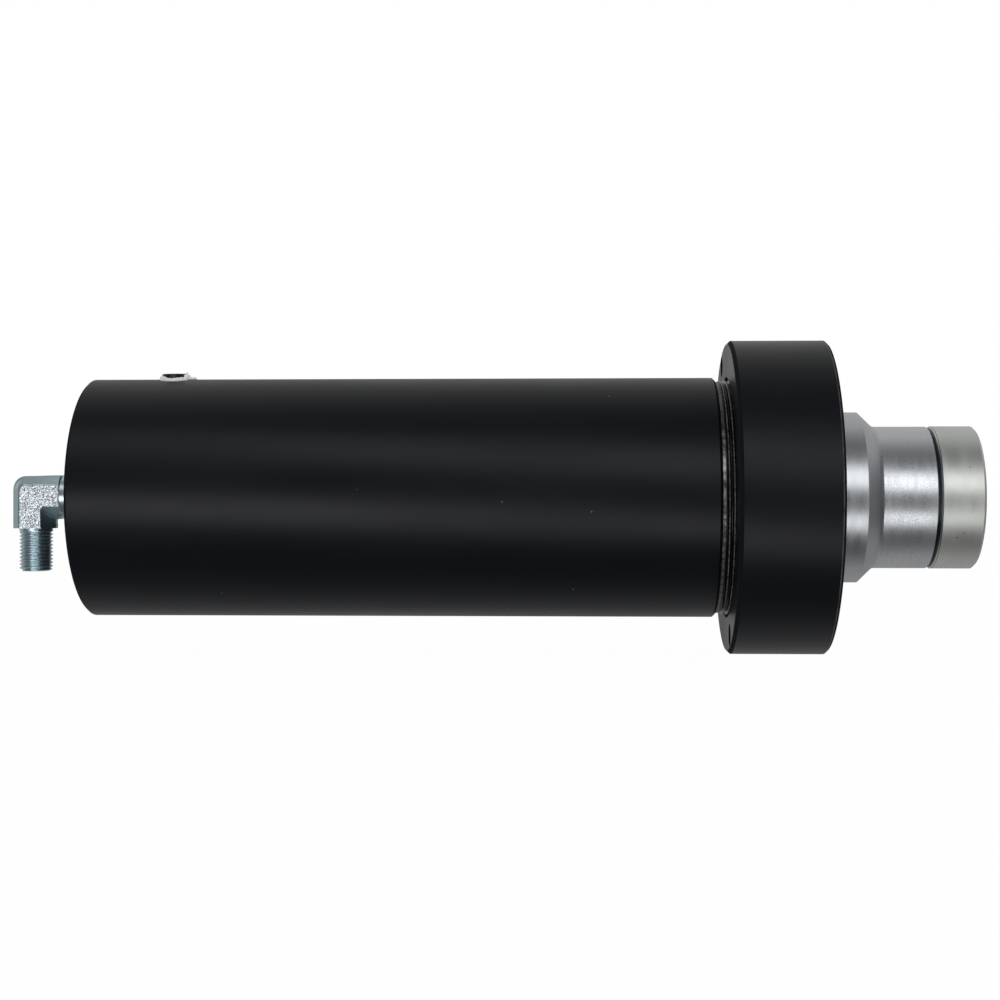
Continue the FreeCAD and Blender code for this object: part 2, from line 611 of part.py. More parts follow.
def ram():
    """The hollow ram: spigot at the rear, running length, cone and nose."""
    step = SPIGOT
    cone = f"{CONE_START} - {RAM_REAR}"
    foot = f"{cone} + cone_len"
    end = f"{foot} + nose_len"
    hollow = f"{HOLLOW_END} - {RAM_REAR}"
    pin = "plug_pin_od / 2 + fit_gap"
    pin_end = f"{end} - plug_pin_len - pin_room"
    snap = f"{end} - plug_pin_len + snap_at"
    snap_root = "plug_pin_od / 2 - snap_in + snap_wall + fit_gap"
    body = turned("ram", RAM_REAR, [
        ("0", "ram_bore / 2"),
        ("0", "spigot_od / 2 - small_chamfer"),
        ("small_chamfer", "spigot_od / 2"),
        (step, "spigot_od / 2"),
        (step, "ram_od / 2"),
        (cone, "ram_od / 2"),
        (foot, "nose_od / 2"),
        (f"{end} - nose_chamfer", "nose_od / 2"),
        (end, "nose_od / 2 - nose_chamfer"),
        (end, pin),
        (f"{snap} + snap_len", pin),
        (f"{snap} + snap_len", snap_root),
        (snap, snap_root),
        (snap, pin),
        (pin_end, pin),
        (pin_end, "0"),
        (hollow, "0"),
        (hollow, "ram_bore / 2"),
    ])
    doc.recompute()
    foot_edge = [
        f"Edge{i}" for i, edge in enumerate(body.Tip.Shape.Edges, start=1)
        if isinstance(edge.Curve, Part.Circle)
        and abs(edge.Curve.Center.x - value(foot)) < 1e-4
        and abs(edge.Curve.Radius - value("nose_od / 2")) < 1e-4]
    fillet = body.newObject("PartDesign::Fillet", "Fillet")
    fillet.Base = (body.Group[-2], foot_edge)
    fillet.Radius = value("cone_fillet")
    fillet.setExpression("Radius", bound("cone_fillet"))
    body.Tip = fillet


def saddle():
    """The pressure saddle on the nose, held by a snap ring on its spigot."""
    pin = "plug_pin_od / 2"
    groove = f"{pin} - snap_in"
    face = "plug_pin_len"
    front = "plug_pin_len + saddle_len"
    turned("saddle", f"{NOSE_END} - plug_pin_len", [
        ("0", "0"),
        ("0", f"{pin} - small_chamfer"),
        ("small_chamfer", pin),
        ("snap_at", pin),
        ("snap_at", groove),
        ("snap_at + snap_len", groove),
        ("snap_at + snap_len", pin),
        (face, pin),
        (face, "saddle_od / 2 - saddle_edge"),
        (f"{face} + saddle_edge", "saddle_od / 2"),
        (f"{front} - saddle_edge", "saddle_od / 2"),
        (front, "saddle_od / 2 - saddle_edge"),
        (front, "0"),
    ])
    ring = square_ring("saddle_snap_ring", f"{NOSE_END} - plug_pin_len + snap_at + fit_gap",
                       f"{groove} + fit_gap", f"{groove} + snap_wall", "snap_len - 2 * fit_gap")
    gap = new_sketch(ring, "YZ_Plane")
    outline(gap, [("-snap_slot / 2", "0"), ("-snap_slot / 2", "-plug_pin_od"),
                  ("snap_slot / 2", "-plug_pin_od"), ("snap_slot / 2", "0")])
    feature(ring, "Pocket", gap, Length="snap_len", Reversed=True)


def port_plug():
    """The taper plug in the side port, with a hexagon socket, and the tape round its rim."""
    at = f"{REAR} + port_to_rear"
    top = "barrel_od / 2 + port_plug_top"
    low = f"{top} - port_plug_len"
    rim = "port_od / 2 - fit_gap"
    body = new_body("port_plug", at, "port_tilt")
    revolve(body, [
        ("0", low),
        (f"{rim} - small_chamfer", low),
        (rim, f"{low} + small_chamfer"),
        (rim, f"{top} - plug_taper - port_plug_top"),
        (f"{rim} - plug_taper", top),
        ("0", top),
    ], axis="V_Axis")
    sketch = new_sketch(body, "XY_Plane", top)
    polygon(sketch, 6, "socket_flats")
    feature(body, "Pocket", sketch, Length="socket_depth")
    tape = new_body("thread_tape", at, "port_tilt")
    spread = "plug_taper / (plug_taper + port_plug_top)"
    foot = f"{rim} - plug_taper + port_plug_top * {spread} + fit_gap"
    edge = f"{foot} - tape_rise * {spread}"
    revolve(tape, [
        (foot, "barrel_od / 2"),
        (f"{foot} + tape_wall", "barrel_od / 2"),
        (f"{edge} + tape_wall", "barrel_od / 2 + tape_rise"),
        (edge, "barrel_od / 2 + tape_rise"),
    ], axis="V_Axis")


def elbow():
    """The forged elbow with its locknut, washer and O-ring in the rear port."""
    body = new_body("elbow_fitting", ELBOW_AXIS)
    across = new_sketch(body, "YZ_Plane", "arm_in")
    side = "forging_depth / 2"
    top = "forging / 2"
    outer_edge = f"{side} - bevel_depth"
    inner_edge = f"{side} - slope_depth"
    outline(across, [
        (f"-({inner_edge})", f"-({top})"),
        (inner_edge, f"-({top})"),
        (side, f"forging_slope - {top}"),
        (side, f"{top} - forging_bevel"),
        (outer_edge, top),
        (f"-({outer_edge})", top),
        (f"-({side})", f"{top} - forging_bevel"),
        (f"-({side})", f"forging_slope - {top}"),
    ])
    route = new_sketch(body, "XZ_Plane")
    start, corner, end = (Vector(value("arm_in"), 0, 0), Vector(), Vector(0, -value("arm_out"), 0))
    route.addGeometry([Part.LineSegment(start, corner), Part.LineSegment(corner, end)], False)
    route.addConstraint(Sketcher.Constraint("Coincident", 0, 2, 1, 1))
    route.addConstraint(Sketcher.Constraint("Coincident", 0, 2, -1, 1))
    route.addConstraint(Sketcher.Constraint("Horizontal", 0))
    route.addConstraint(Sketcher.Constraint("Vertical", 1))
    dimension(route, "DistanceX", -1, 1, 0, 1, "arm_in")
    dimension(route, "DistanceY", -1, 1, 1, 2, "-arm_out")
    arms = feature(body, "AdditivePipe", across)
    arms.Spine = (route, ["Edge1", "Edge2"])
    arms.Transition = "Right corner"
    corner_cut = new_sketch(body, "XZ_Plane")
    round_corner(corner_cut, "forging / 2", "forging_corner")
    feature(body, "Pocket", corner_cut, Length="2 * forging", Midplane=True)
    collar_end = "arm_in + elbow_collar_len"
    stud_end = "elbow_reach + stud_in_port"
    thread = "port_od / 2 - fit_gap"
    revolve(body, [
        ("0", "0"),
        ("0", "oil_bore / 2 + 1"),
        ("arm_in", "oil_bore / 2 + 1"),
        ("arm_in", "elbow_neck_od / 2"),
        ("arm_in + elbow_neck_len", "elbow_neck_od / 2"),
        ("arm_in + elbow_neck_len", "elbow_collar_od / 2"),
        (collar_end, "elbow_collar_od / 2"),
        (collar_end, "undercut_od / 2"),
        (f"{collar_end} + undercut_len", "undercut_od / 2"),
        (f"{collar_end} + undercut_len", thread),
        (f"{stud_end} - small_chamfer", thread),
        (stud_end, f"{thread} - small_chamfer"),
        (stud_end, "0"),
    ])
    revolve(body, [
        ("0", "-forging / 2"),
        ("port_od / 2", "-forging / 2"),
        ("port_od / 2", "-outlet_len + small_chamfer"),
        ("port_od / 2 - small_chamfer", "-outlet_len"),
        ("0", "-outlet_len"),
    ], axis="V_Axis")
    drilled(body, [("0", "0")], "oil_bore", f"{stud_end}", "YZ_Plane")
    drilled(body, [("0", "0")], "oil_bore", "outlet_len", "XY_Plane", towards=False)
    washer_at = f"{REAR} - elbow_washer_len"
    bore = "port_od / 2 + fit_gap"
    hex_nut("elbow_locknut", f"{washer_at} - locknut_len", "locknut_flats", bore, "locknut_len",
            "locknut_turn")
    square_ring("elbow_washer", washer_at, bore, "elbow_washer_od / 2", "elbow_washer_len")


def round_corner(sketch, half, radius):
    """What a rounding takes off the outer corner at (-half, half): two lines and an arc."""
    size, r = value(half), value(radius)
    tip, left, top = Vector(-size, size, 0), Vector(-size, size - r, 0), Vector(-size + r, size, 0)
    centre = Vector(-size + r, size - r, 0)
    arc = Part.ArcOfCircle(Part.Circle(centre, Vector(0, 0, 1), r), math.pi / 2, math.pi)
    sketch.addGeometry([Part.LineSegment(left, tip), Part.LineSegment(tip, top), arc], False)
    sketch.addConstraint(Sketcher.Constraint("Coincident", 0, 2, 1, 1))
    sketch.addConstraint(Sketcher.Constraint("Tangent", 1, 2, 2, 1))
    sketch.addConstraint(Sketcher.Constraint("Tangent", 2, 2, 0, 1))
    sketch.addConstraint(Sketcher.Constraint("Vertical", 0))
    sketch.addConstraint(Sketcher.Constraint("Horizontal", 1))
    dimension(sketch, "DistanceX", -1, 1, 1, 1, f"-({half})")
    dimension(sketch, "DistanceY", -1, 1, 1, 1, half)
    dimension(sketch, "Radius", 2, radius)


def export():
    """Checks every object and writes each piece's shape to its own file."""
    doc.recompute()
    failed = [o.Label for o in doc.Objects if {"Invalid", "Error"} & set(o.State)]
    if failed:
        raise RuntimeError(f"these objects failed: {failed}")
    os.makedirs("parts", exist_ok=True)
    for body in parts:
        shape = body.Shape
        if shape.isNull() or not shape.isValid() or not shape.Solids:
            raise RuntimeError(f"{body.Label} is not a valid solid")
        box = shape.optimalBoundingBox(False, False)
        print(f"{body.Label:20s} {len(shape.Solids)} solid, {shape.Volume / 1000:9.2f} cm3, "
              f"x {box.XMin:8.2f} to {box.XMax:8.2f}, z {box.ZMin:7.2f} to {box.ZMax:7.2f}")
        shape.exportStep(f"parts/{body.Label}.step")


for make in (barrel, collar, base_plug, gland, tie_rod, return_spring, piston, ram, saddle, port_plug,
             elbow):
    make()
export()
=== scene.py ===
"""Looks of a workshop press's hydraulic ram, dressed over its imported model, in metres."""

import logging
import math
from dataclasses import dataclass
from enum import Enum

import bpy
import numpy as np
from mathutils import Matrix, Vector


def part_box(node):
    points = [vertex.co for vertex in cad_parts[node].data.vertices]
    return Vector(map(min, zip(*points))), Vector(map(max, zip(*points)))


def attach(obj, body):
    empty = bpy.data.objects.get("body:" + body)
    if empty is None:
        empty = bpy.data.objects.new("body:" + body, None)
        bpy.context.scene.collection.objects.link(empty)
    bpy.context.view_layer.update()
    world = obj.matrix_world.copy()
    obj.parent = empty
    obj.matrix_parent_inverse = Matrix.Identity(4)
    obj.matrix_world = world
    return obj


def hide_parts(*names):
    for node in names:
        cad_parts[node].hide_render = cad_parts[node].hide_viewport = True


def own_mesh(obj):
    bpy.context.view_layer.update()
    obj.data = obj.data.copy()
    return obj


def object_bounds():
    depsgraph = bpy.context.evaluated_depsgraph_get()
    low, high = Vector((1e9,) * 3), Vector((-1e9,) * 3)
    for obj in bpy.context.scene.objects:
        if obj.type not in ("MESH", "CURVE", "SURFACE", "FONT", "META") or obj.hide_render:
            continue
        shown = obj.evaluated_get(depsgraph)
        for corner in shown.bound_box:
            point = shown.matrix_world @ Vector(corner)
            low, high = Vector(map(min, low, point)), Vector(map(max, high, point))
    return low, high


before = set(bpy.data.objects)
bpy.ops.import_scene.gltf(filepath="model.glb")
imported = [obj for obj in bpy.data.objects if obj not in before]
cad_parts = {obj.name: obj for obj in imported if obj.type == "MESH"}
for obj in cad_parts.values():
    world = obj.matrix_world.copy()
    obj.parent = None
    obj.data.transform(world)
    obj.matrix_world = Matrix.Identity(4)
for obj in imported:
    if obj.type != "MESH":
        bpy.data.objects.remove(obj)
CAD_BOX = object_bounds()

LOG = logging.getLogger("hydraulic_ram")
MM = 0.001
TURN = 2 * math.pi
PAINT_RELIEF = 0.02 * MM
METAL_RELIEF = 0.05 * MM
FORGED_RELIEF = 0.06 * MM
Array = np.ndarray
Colour = tuple[float, float, float]
Socket = bpy.types.NodeSocket


class Body(Enum):
    """The rigid bodies that pieces ride on."""

    BARREL = "barrel_unit"
    RAM = "ram_unit"
    SADDLE = "saddle_unit"


class Axis(Enum):
    """The way a turned piece runs: its axis, then its up and side vectors, whose cross is the axis."""

    FORWARD = ((1, 0, 0), (0, 0, 1), (0, -1, 0))
    DOWN = ((0, 0, -1), (1, 0, 0), (0, -1, 0))


def node_size(node: str) -> tuple[Array, Array]:
    """The lowest and highest corner of a node at rest.

    Args:
        node: the node's name.

    Returns:
        The two corners, in metres.
    """
    low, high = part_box(node)
    return np.array(low), np.array(high)


def surface_object(name: str, points: Array, closed_rows: bool = False, caps: bool = False,
                   inside_out: bool = False) -> bpy.types.Object:
    """A smooth mesh over a grid of points whose columns close on themselves.

    Each quad joins point (row, column) to the next row and the next column, and a cap is a fan from
    the middle of the first or the last row.

    Args:
        name: the piece's name.
        points: an array of rows by columns by 3, in metres.
        closed_rows: joins the last row to the first.
        caps: closes the first and the last row.
        inside_out: turns the faces round.

    Returns:
        The new object.
    """
    rows, columns, _ = points.shape
    row = np.arange(rows if closed_rows else rows - 1)[:, None]
    column = np.arange(columns)[None, :]
    below, right = (row + 1) % rows, (column + 1) % columns
    corners = [row * columns + column, row * columns + right, below * columns + right,
               below * columns + column]
    quads = np.stack(corners, -1).reshape(-1, 4)
    vertices = points.reshape(-1, 3)
    faces = (quads[:, ::-1] if inside_out else quads).tolist()
    if caps:
        count = len(vertices)
        vertices = np.vstack([vertices, points[0].mean(0), points[-1].mean(0)])
        ring = np.arange(columns)
        after = (ring + 1) % columns
        last = (rows - 1) * columns
        first_fan = np.stack([after, ring, np.full(columns, count)], -1)
        last_fan = np.stack([last + ring, last + after, np.full(columns, count + 1)], -1)
        fans = np.vstack([first_fan, last_fan])
        faces += (fans[:, ::-1] if inside_out else fans).tolist()
    mesh = bpy.data.meshes.new(name)
    mesh.from_pydata(vertices.tolist(), [], faces)
    mesh.polygons.foreach_set("use_smooth", [True] * len(mesh.polygons))
    mesh.update()
    piece = bpy.data.objects.new(name, mesh)
    bpy.context.scene.collection.objects.link(piece)
    return piece


def sharpen(piece: bpy.types.Object, degrees: float) -> None:
    """Keeps the edges that turn by more than that angle sharp."""
    piece.data.set_sharp_from_angle(angle=math.radians(degrees))


def keep_mask(piece: bpy.types.Object, name: str, values: Array) -> None:
    """Keeps a mask on a piece's vertices, and 0 on the middles of its caps.

    Args:
        piece: the new object.
        name: the attribute's name.
        values: one value per point of its grid.
    """
    mask = piece.data.attributes.new(name, "FLOAT", "POINT")
    caps = np.zeros(len(piece.data.vertices) - values.size)
    mask.data.foreach_set("value", np.append(values.ravel(), caps).astype(np.float32))


def value_noise(where: Array, seed: int) -> Array:
    """Smooth random values between -1 and 1, one for each point of an array of points.

    The value at each corner of a unit lattice is random, and between corners the values blend by the
    smoothstep of the distance along each axis.

    Args:
        where: points in lattice units, with 3 numbers in the last axis.
        seed: picks the random lattice.

    Returns:
        An array with one value per point.
    """
    size = 32
    lattice = np.random.default_rng(seed).uniform(-1, 1, (size, size, size))
    cell = np.floor(where).astype(int)
    part = where - cell
    part = part * part * (3 - 2 * part)
    total = np.zeros(where.shape[:-1])
    for corner in np.ndindex(2, 2, 2):
        index = (cell + corner) % size
        weight = np.prod(np.where(np.array(corner) == 1, part, 1 - part), -1)
        total += weight * lattice[index[..., 0], index[..., 1], index[..., 2]]
    return total


def angles(count: int) -> Array:
    """Evenly spaced angles of one turn, in radians."""
    return np.linspace(0, TURN, count, endpoint=False)


def smoothstep(low: float, high: float, at: Array) -> Array:
    """Zero below low, one above high and a smooth rise between."""
    part = np.clip((at - low) / (high - low), 0, 1)
    return part * part * (3 - 2 * part)


@dataclass
class Thread:
    """A screw thread cut into a turned piece.

    Attributes:
        pitch: metres from crest to crest.
        depth: metres from crest to root.
        start: where along the piece its first groove is full.
        end: where along the piece its last groove is full.
        runout: metres over which the groove fades out at each end.
    """

    pitch: float
    depth: float
    start: float
    end: float
    runout: float

    def cut(self, along: Array, angle: Array) -> Array:
        """How far the groove lies below the crests at each place.

        The phase is the place along the thread in pitches less the share of a turn. The groove is a
        flat-bottomed V in that phase: 1 - |2 phase - 1|, stretched and cut off at both ends.

        Args:
            along: distances along the axis.
            angle: angles about the axis, in radians.

        Returns:
            The depth of the cut at each place.
        """
        phase = (along / self.pitch - angle / TURN) % 1.0
        wave = np.clip((1 - np.abs(2 * phase - 1) - 0.14) / 0.74, 0, 1)
        inside = smoothstep(self.start - self.runout, self.start, along)
        inside = inside * (1 - smoothstep(self.end, self.end + self.runout, along))
        return self.depth * (1 - wave) * inside


@dataclass
class Turning:
    """A turned piece: a rounded outline carried round an axis.

    Attributes:
        outline: corners as (distance along, radius, rounding), in metres, clockwise round a closed
            section when distance runs to the right and radius upwards.
        step: longest distance between two rings.
        around: points in one turn.
        thread: a thread cut into it, if it has one.
        origin: a point on the axis.
        axis: the way that the piece runs.
    """

    outline: list[tuple[float, float, float]]
    step: float
    around: int
    thread: Thread | None = None
    origin: tuple[float, float, float] = (0.0, 0.0, 0.0)
    axis: Axis = Axis.FORWARD

    def rings(self) -> Array:
        """The outline with each corner rounded by a parabola, and no step longer than allowed.

        Returns:
            An array of (distance along, radius).
        """
        corners = np.array([c[:2] for c in self.outline])
        path = [corners[0]]
        for i in range(1, len(corners) - 1):
            before, here, after = corners[i - 1], corners[i], corners[i + 1]
            size = self.outline[i][2]
            if size <= 0:
                path.append(here)
                continue
            start = here + (before - here) * min(0.5, size / np.linalg.norm(before - here))
            end = here + (after - here) * min(0.5, size / np.linalg.norm(after - here))
            share = np.linspace(0, 1, 5)[:, None]
            path.extend((1 - share) ** 2 * start + 2 * share * (1 - share) * here + share ** 2 * end)
        path.append(corners[-1])
        dense = [path[0]]
        for a, b in zip(path[:-1], path[1:]):
            pieces = max(1, math.ceil(np.linalg.norm(b - a) / self.step))
            dense.extend(a + (b - a) * k / pieces for k in range(1, pieces + 1))
        return np.array(dense)

    def build(self, name: str) -> bpy.types.Object:
        """The finished mesh.

        A point stands at the origin, plus its distance along the axis, plus its radius times the
        cosine of its angle along the up vector and the sine along the side vector.

        Args:
            name: the piece's name.

        Returns:
            The new object.
        """
        rings = self.rings()
        along, radius = rings[:, 0][:, None], rings[:, 1][:, None]
        angle = angles(self.around)[None, :]
        cut = self.thread.cut(along, angle) if self.thread else 0 * (along + angle)
        forward, up, side = (np.array(v, float) for v in self.axis.value)
        radius = radius - cut
        points = (np.array(self.origin) + along[..., None] * forward
                  + (radius * np.cos(angle))[..., None] * up + (radius * np.sin(angle))[..., None] * side)
        piece = surface_object(name, points, closed_rows=True)
        sharpen(piece, 40)
        if self.thread:
            keep_mask(piece, "crest", smoothstep(0.75, 1.0, 1 - cut / self.thread.depth))
        return piece


def scaled(colour: Colour, by: float) -> Colour:
    """A colour whose three parts are multiplied by a number."""
    return tuple(part * by for part in colour)


class Nodes:
    """A short way to add nodes to a tree."""

    def __init__(self, tree: bpy.types.NodeTree) -> None:
        """Keeps the tree."""
        self.tree = tree

    def feed(self, socket: Socket, source: object) -> None:
        """Links a socket, or sets its value where the source is a plain number or colour."""
        if isinstance(source, Socket):
            self.tree.links.new(source, socket)
        else:
            socket.default_value = source

    def node(self, kind: str, *sources: object, **values: object) -> bpy.types.Node:
        """A shader node of that kind.

        Args:
            kind: the node's type, without its first word ShaderNode.
            sources: what feeds its inputs, in their order from the first.
            values: its properties.

        Returns:
            The new node.
        """
        made = self.tree.nodes.new("ShaderNode" + kind)
        for name, value in values.items():
            setattr(made, name, value)
        for socket, source in zip(made.inputs, sources):
            self.feed(socket, source)
        return made

    def math(self, operation: str, first: object, second: object = 0.0, clamp: bool = False) -> Socket:
        """The result of a Math node."""
        return self.node("Math", first, second, operation=operation, use_clamp=clamp).outputs[0]

    def times(self, first: object, second: object) -> Socket:
        """The product of two values."""
        return self.math("MULTIPLY", first, second)

    def plus(self, first: object, second: object) -> Socket:
        """The sum of two values."""
        return self.math("ADD", first, second)

    def span(self, source: object, low: float, high: float, to_low: float = 0.0,
             to_high: float = 1.0) -> Socket:
        """A value carried smoothly from one range to another."""
        return self.node("MapRange", source, low, high, to_low, to_high,
                         interpolation_type="SMOOTHSTEP").outputs[0]

    def noise_at(self, place: object, scale: float, detail: float) -> Socket:
        """Noise over the given coordinates."""
        made = self.node("TexNoise", place)
        made.inputs["Scale"].default_value, made.inputs["Detail"].default_value = scale, detail
        return made.outputs["Fac"]


class Shader(Nodes):
    """A material's nodes, round a Principled BSDF."""

    def __init__(self, name: str) -> None:
        """Makes the material."""
        self.material = bpy.data.materials.new(name)
        self.material.use_nodes = True
        super().__init__(self.material.node_tree)
        self.tree.nodes.clear()
        self.surface = self.node("BsdfPrincipled")
        self.output = self.node("OutputMaterial", self.surface.outputs["BSDF"])
        self.place = self.node("TexCoord").outputs["Object"]

    def material_with(self, **sources: object) -> bpy.types.Material:
        """The material, with its surface's sockets fed by name, with _ for a space."""
        for name, source in sources.items():
            self.feed(self.surface.inputs[name.replace("_", " ")], source)
        return self.material

    def blend(self, share: object, first: object, second: object) -> Socket:
        """A colour between two, by a mask. Each colour is a socket or three numbers."""
        made = self.node("Mix", data_type="RGBA")
        self.feed(made.inputs["Factor"], share)
        for name, source in (("A", first), ("B", second)):
            self.feed(made.inputs[name], (*source, 1) if isinstance(source, tuple) else source)
        return made.outputs["Result"]

    def noise(self, scale: float, detail: float = 2.0,
              stretch: tuple[int, int, int] = (1, 1, 1)) -> Socket:
        """Noise over the object's own coordinates, stretched by axis."""
        mapping = self.node("Mapping", self.place)
        mapping.inputs["Scale"].default_value = stretch
        return self.noise_at(mapping.outputs[0], scale, detail)

    def attribute(self, name: str) -> Socket:
        """A mask that the mesh keeps."""
        return self.node("Attribute", attribute_name=name).outputs["Fac"]

    def group(self, tree: bpy.types.NodeTree, **values: float) -> bpy.types.Node:
        """A shared effect over the object's own coordinates, with its inputs set by name."""
        made = self.node("Group", node_tree=tree)
        for name, source in {"Place": self.place, **values}.items():
            self.feed(made.inputs[name], source)
        return made

    def specks(self, scale: float, size: float, share: float) -> Socket:
        """A mask of scattered specks."""
        return self.group(SPECKS, Scale=scale, Size=size, Share=share).outputs["Mask"]

    def zone(self, low: float, high: float, soft: float) -> Socket:
        """A mask of a stretch of the X axis."""
        return self.group(ZONE, From=low, To=high, Soft=soft).outputs["Mask"]

    def bump(self, height: object, reach: float) -> Socket:
        """A normal bent by a height, where a height of 1 is that many metres."""
        made = self.node("Bump")
        made.inputs["Distance"].default_value = reach
        self.feed(made.inputs["Height"], height)
        return made.outputs["Normal"]


class Group(Nodes):
    """A node group with a vector input called Place, float inputs and float outputs.

    Attributes:
        come: the sockets that bring its inputs.
        go: the sockets that take its outputs.
    """

    def __init__(self, name: str, inputs: tuple[str, ...], outputs: tuple[str, ...]) -> None:
        """Makes the group with the named floats."""
        super().__init__(bpy.data.node_groups.new(name, "ShaderNodeTree"))
        face = self.tree.interface
        face.new_socket("Place", in_out="INPUT", socket_type="NodeSocketVector")
        for way, labels in (("INPUT", inputs), ("OUTPUT", outputs)):
            for label in labels:
                face.new_socket(label, in_out=way, socket_type="NodeSocketFloat")
        self.come = self.tree.nodes.new("NodeGroupInput").outputs
        self.go = self.tree.nodes.new("NodeGroupOutput").inputs


class Effects:
    """Node groups that several finishes share."""

    @staticmethod
    def specks() -> bpy.types.NodeTree:
        """Scattered small round specks: a random share of the cells of a Voronoi pattern.

        Returns:
            The group, with inputs Scale, Size and Share and the output Mask.
        """
        g = Group("specks", ("Scale", "Size", "Share"), ("Mask",))
        cells = g.node("TexVoronoi", g.come["Place"])
        g.feed(cells.inputs["Scale"], g.come["Scale"])
        near = g.math("LESS_THAN", cells.outputs["Distance"], g.come["Size"])
        draw = g.node("SeparateColor", cells.outputs["Color"]).outputs[0]
        g.feed(g.go["Mask"], g.times(near, g.math("LESS_THAN", draw, g.come["Share"])))
        return g.tree

    @staticmethod
    def tool_marks() -> bpy.types.NodeTree:
        """Rings left by turning: noise that changes fast along X and slowly round the axis.

        Returns:
            The group, with inputs Along and Across, the output Height of fine rings and the output
            Streak of broad ones.
        """
        g = Group("tool marks", ("Along", "Across"), ("Height", "Streak"))
        across = g.come["Across"]
        for label, share in (("Height", 1.0), ("Streak", 0.12)):
            scale = g.node("CombineXYZ", g.times(g.come["Along"], share), across, across)
            place = g.node("VectorMath", g.come["Place"], scale.outputs[0], operation="MULTIPLY")
            g.feed(g.go[label], g.noise_at(place.outputs[0], 1.0, 3.0))
        return g.tree

    @staticmethod
    def zone() -> bpy.types.NodeTree:
        """A stretch of the X axis with soft ends.

        The mask is clamp((x - From) / Soft + 0.5) times clamp((To - x) / Soft + 0.5).

        Returns:
            The group, with inputs From, To and Soft in metres and the output Mask.
        """
        g = Group("zone", ("From", "To", "Soft"), ("Mask",))
        x = g.node("SeparateXYZ", g.come["Place"]).outputs[0]
        sides = []
        for more, less in ((x, g.come["From"]), (g.come["To"], x)):
            share = g.math("DIVIDE", g.math("SUBTRACT", more, less), g.come["Soft"])
            sides.append(g.math("ADD", share, 0.5, clamp=True))
        g.feed(g.go["Mask"], g.times(*sides))
        return g.tree


SPECKS = Effects.specks()
TOOL_MARKS = Effects.tool_marks()
ZONE = Effects.zone()


@dataclass(frozen=True)
class Enamel:
    """Satin black paint over turned steel, with dust in it and thin places on its edges, each drawn as a
    lighter line that is partly wear and partly a painted highlight.

    Attributes:
        name: the material's name.
        colour: the paint where it is darkest. It is clouded up to 1.7 times that.
        dust: specks that dried in.
        crest_tone: the lighter colour painted on a thread's crests.
        worn_and_highlight_tone: the line along an edge, partly thin paint and partly a painted highlight
            of the rounded edge.
        roughness: how dull the paint is.
        shine: how strongly it mirrors.
        bevels: where along X the paint covers a bevelled edge, and is thick and dull.
        highlit_worn_edges: where along X an edge has thin paint and a painted highlight line.
    """

    name: str
    colour: Colour = (0.0030, 0.0040, 0.0060)
    dust: Colour = (0.10, 0.10, 0.095)
    crest_tone: Colour = (0.25, 0.25, 0.24)
    worn_and_highlight_tone: Colour = (0.11, 0.107, 0.10)
    roughness: float = 0.34
    shine: float = 0.24
    bevels: tuple[tuple[float, float], ...] = ()
    highlit_worn_edges: tuple[float, ...] = ()

    def build(self) -> bpy.types.Material:
        """The material: clouded paint, faint turning marks, dust specks, lighter crests, and edge lines
        that are partly wear and partly painted highlight.
        """
        s = Shader(self.name)
        cloud, grain = s.noise(9.0, 6.0, (1, 2, 2)), s.noise(900.0)
        rings = s.group(TOOL_MARKS, Along=900.0, Across=6.0).outputs["Height"]
        specks = s.specks(140.0, 0.06, 0.16)
        paint = s.blend(cloud, self.colour, scaled(self.colour, 1.7))
        paint = s.blend(specks, paint, self.dust)
        # The thread's crests are painted lighter in fine spots.
        bare = s.times(s.attribute("crest"), s.span(grain, 0.35, 0.6, 0.2, 0.9))
        paint = s.blend(bare, paint, self.crest_tone)
        # Painted highlight and thin paint: a lighter ragged line along each listed edge.
        for edge in self.highlit_worn_edges:
            line = s.zone(edge - 0.2 * MM, edge + 0.2 * MM, 0.2 * MM)
            ragged = s.span(s.noise(240.0, 3.0), 0.3, 0.55, 0.35, 1.0)
            paint = s.blend(s.times(line, ragged), paint, self.worn_and_highlight_tone)
        rough = s.span(cloud, 0.3, 0.7, self.roughness - 0.03, self.roughness + 0.05)
        for low, high in self.bevels:
            rough = s.math("ADD", rough, s.times(s.zone(low, high, 0.1 * MM), 0.6), clamp=True)
        height = s.plus(s.plus(s.times(grain, 0.5), s.times(rings, 0.6)), s.times(specks, 6.0))
        return s.material_with(Base_Color=paint, Roughness=rough, Normal=s.bump(height, PAINT_RELIEF),
                               Specular_IOR_Level=self.shine)


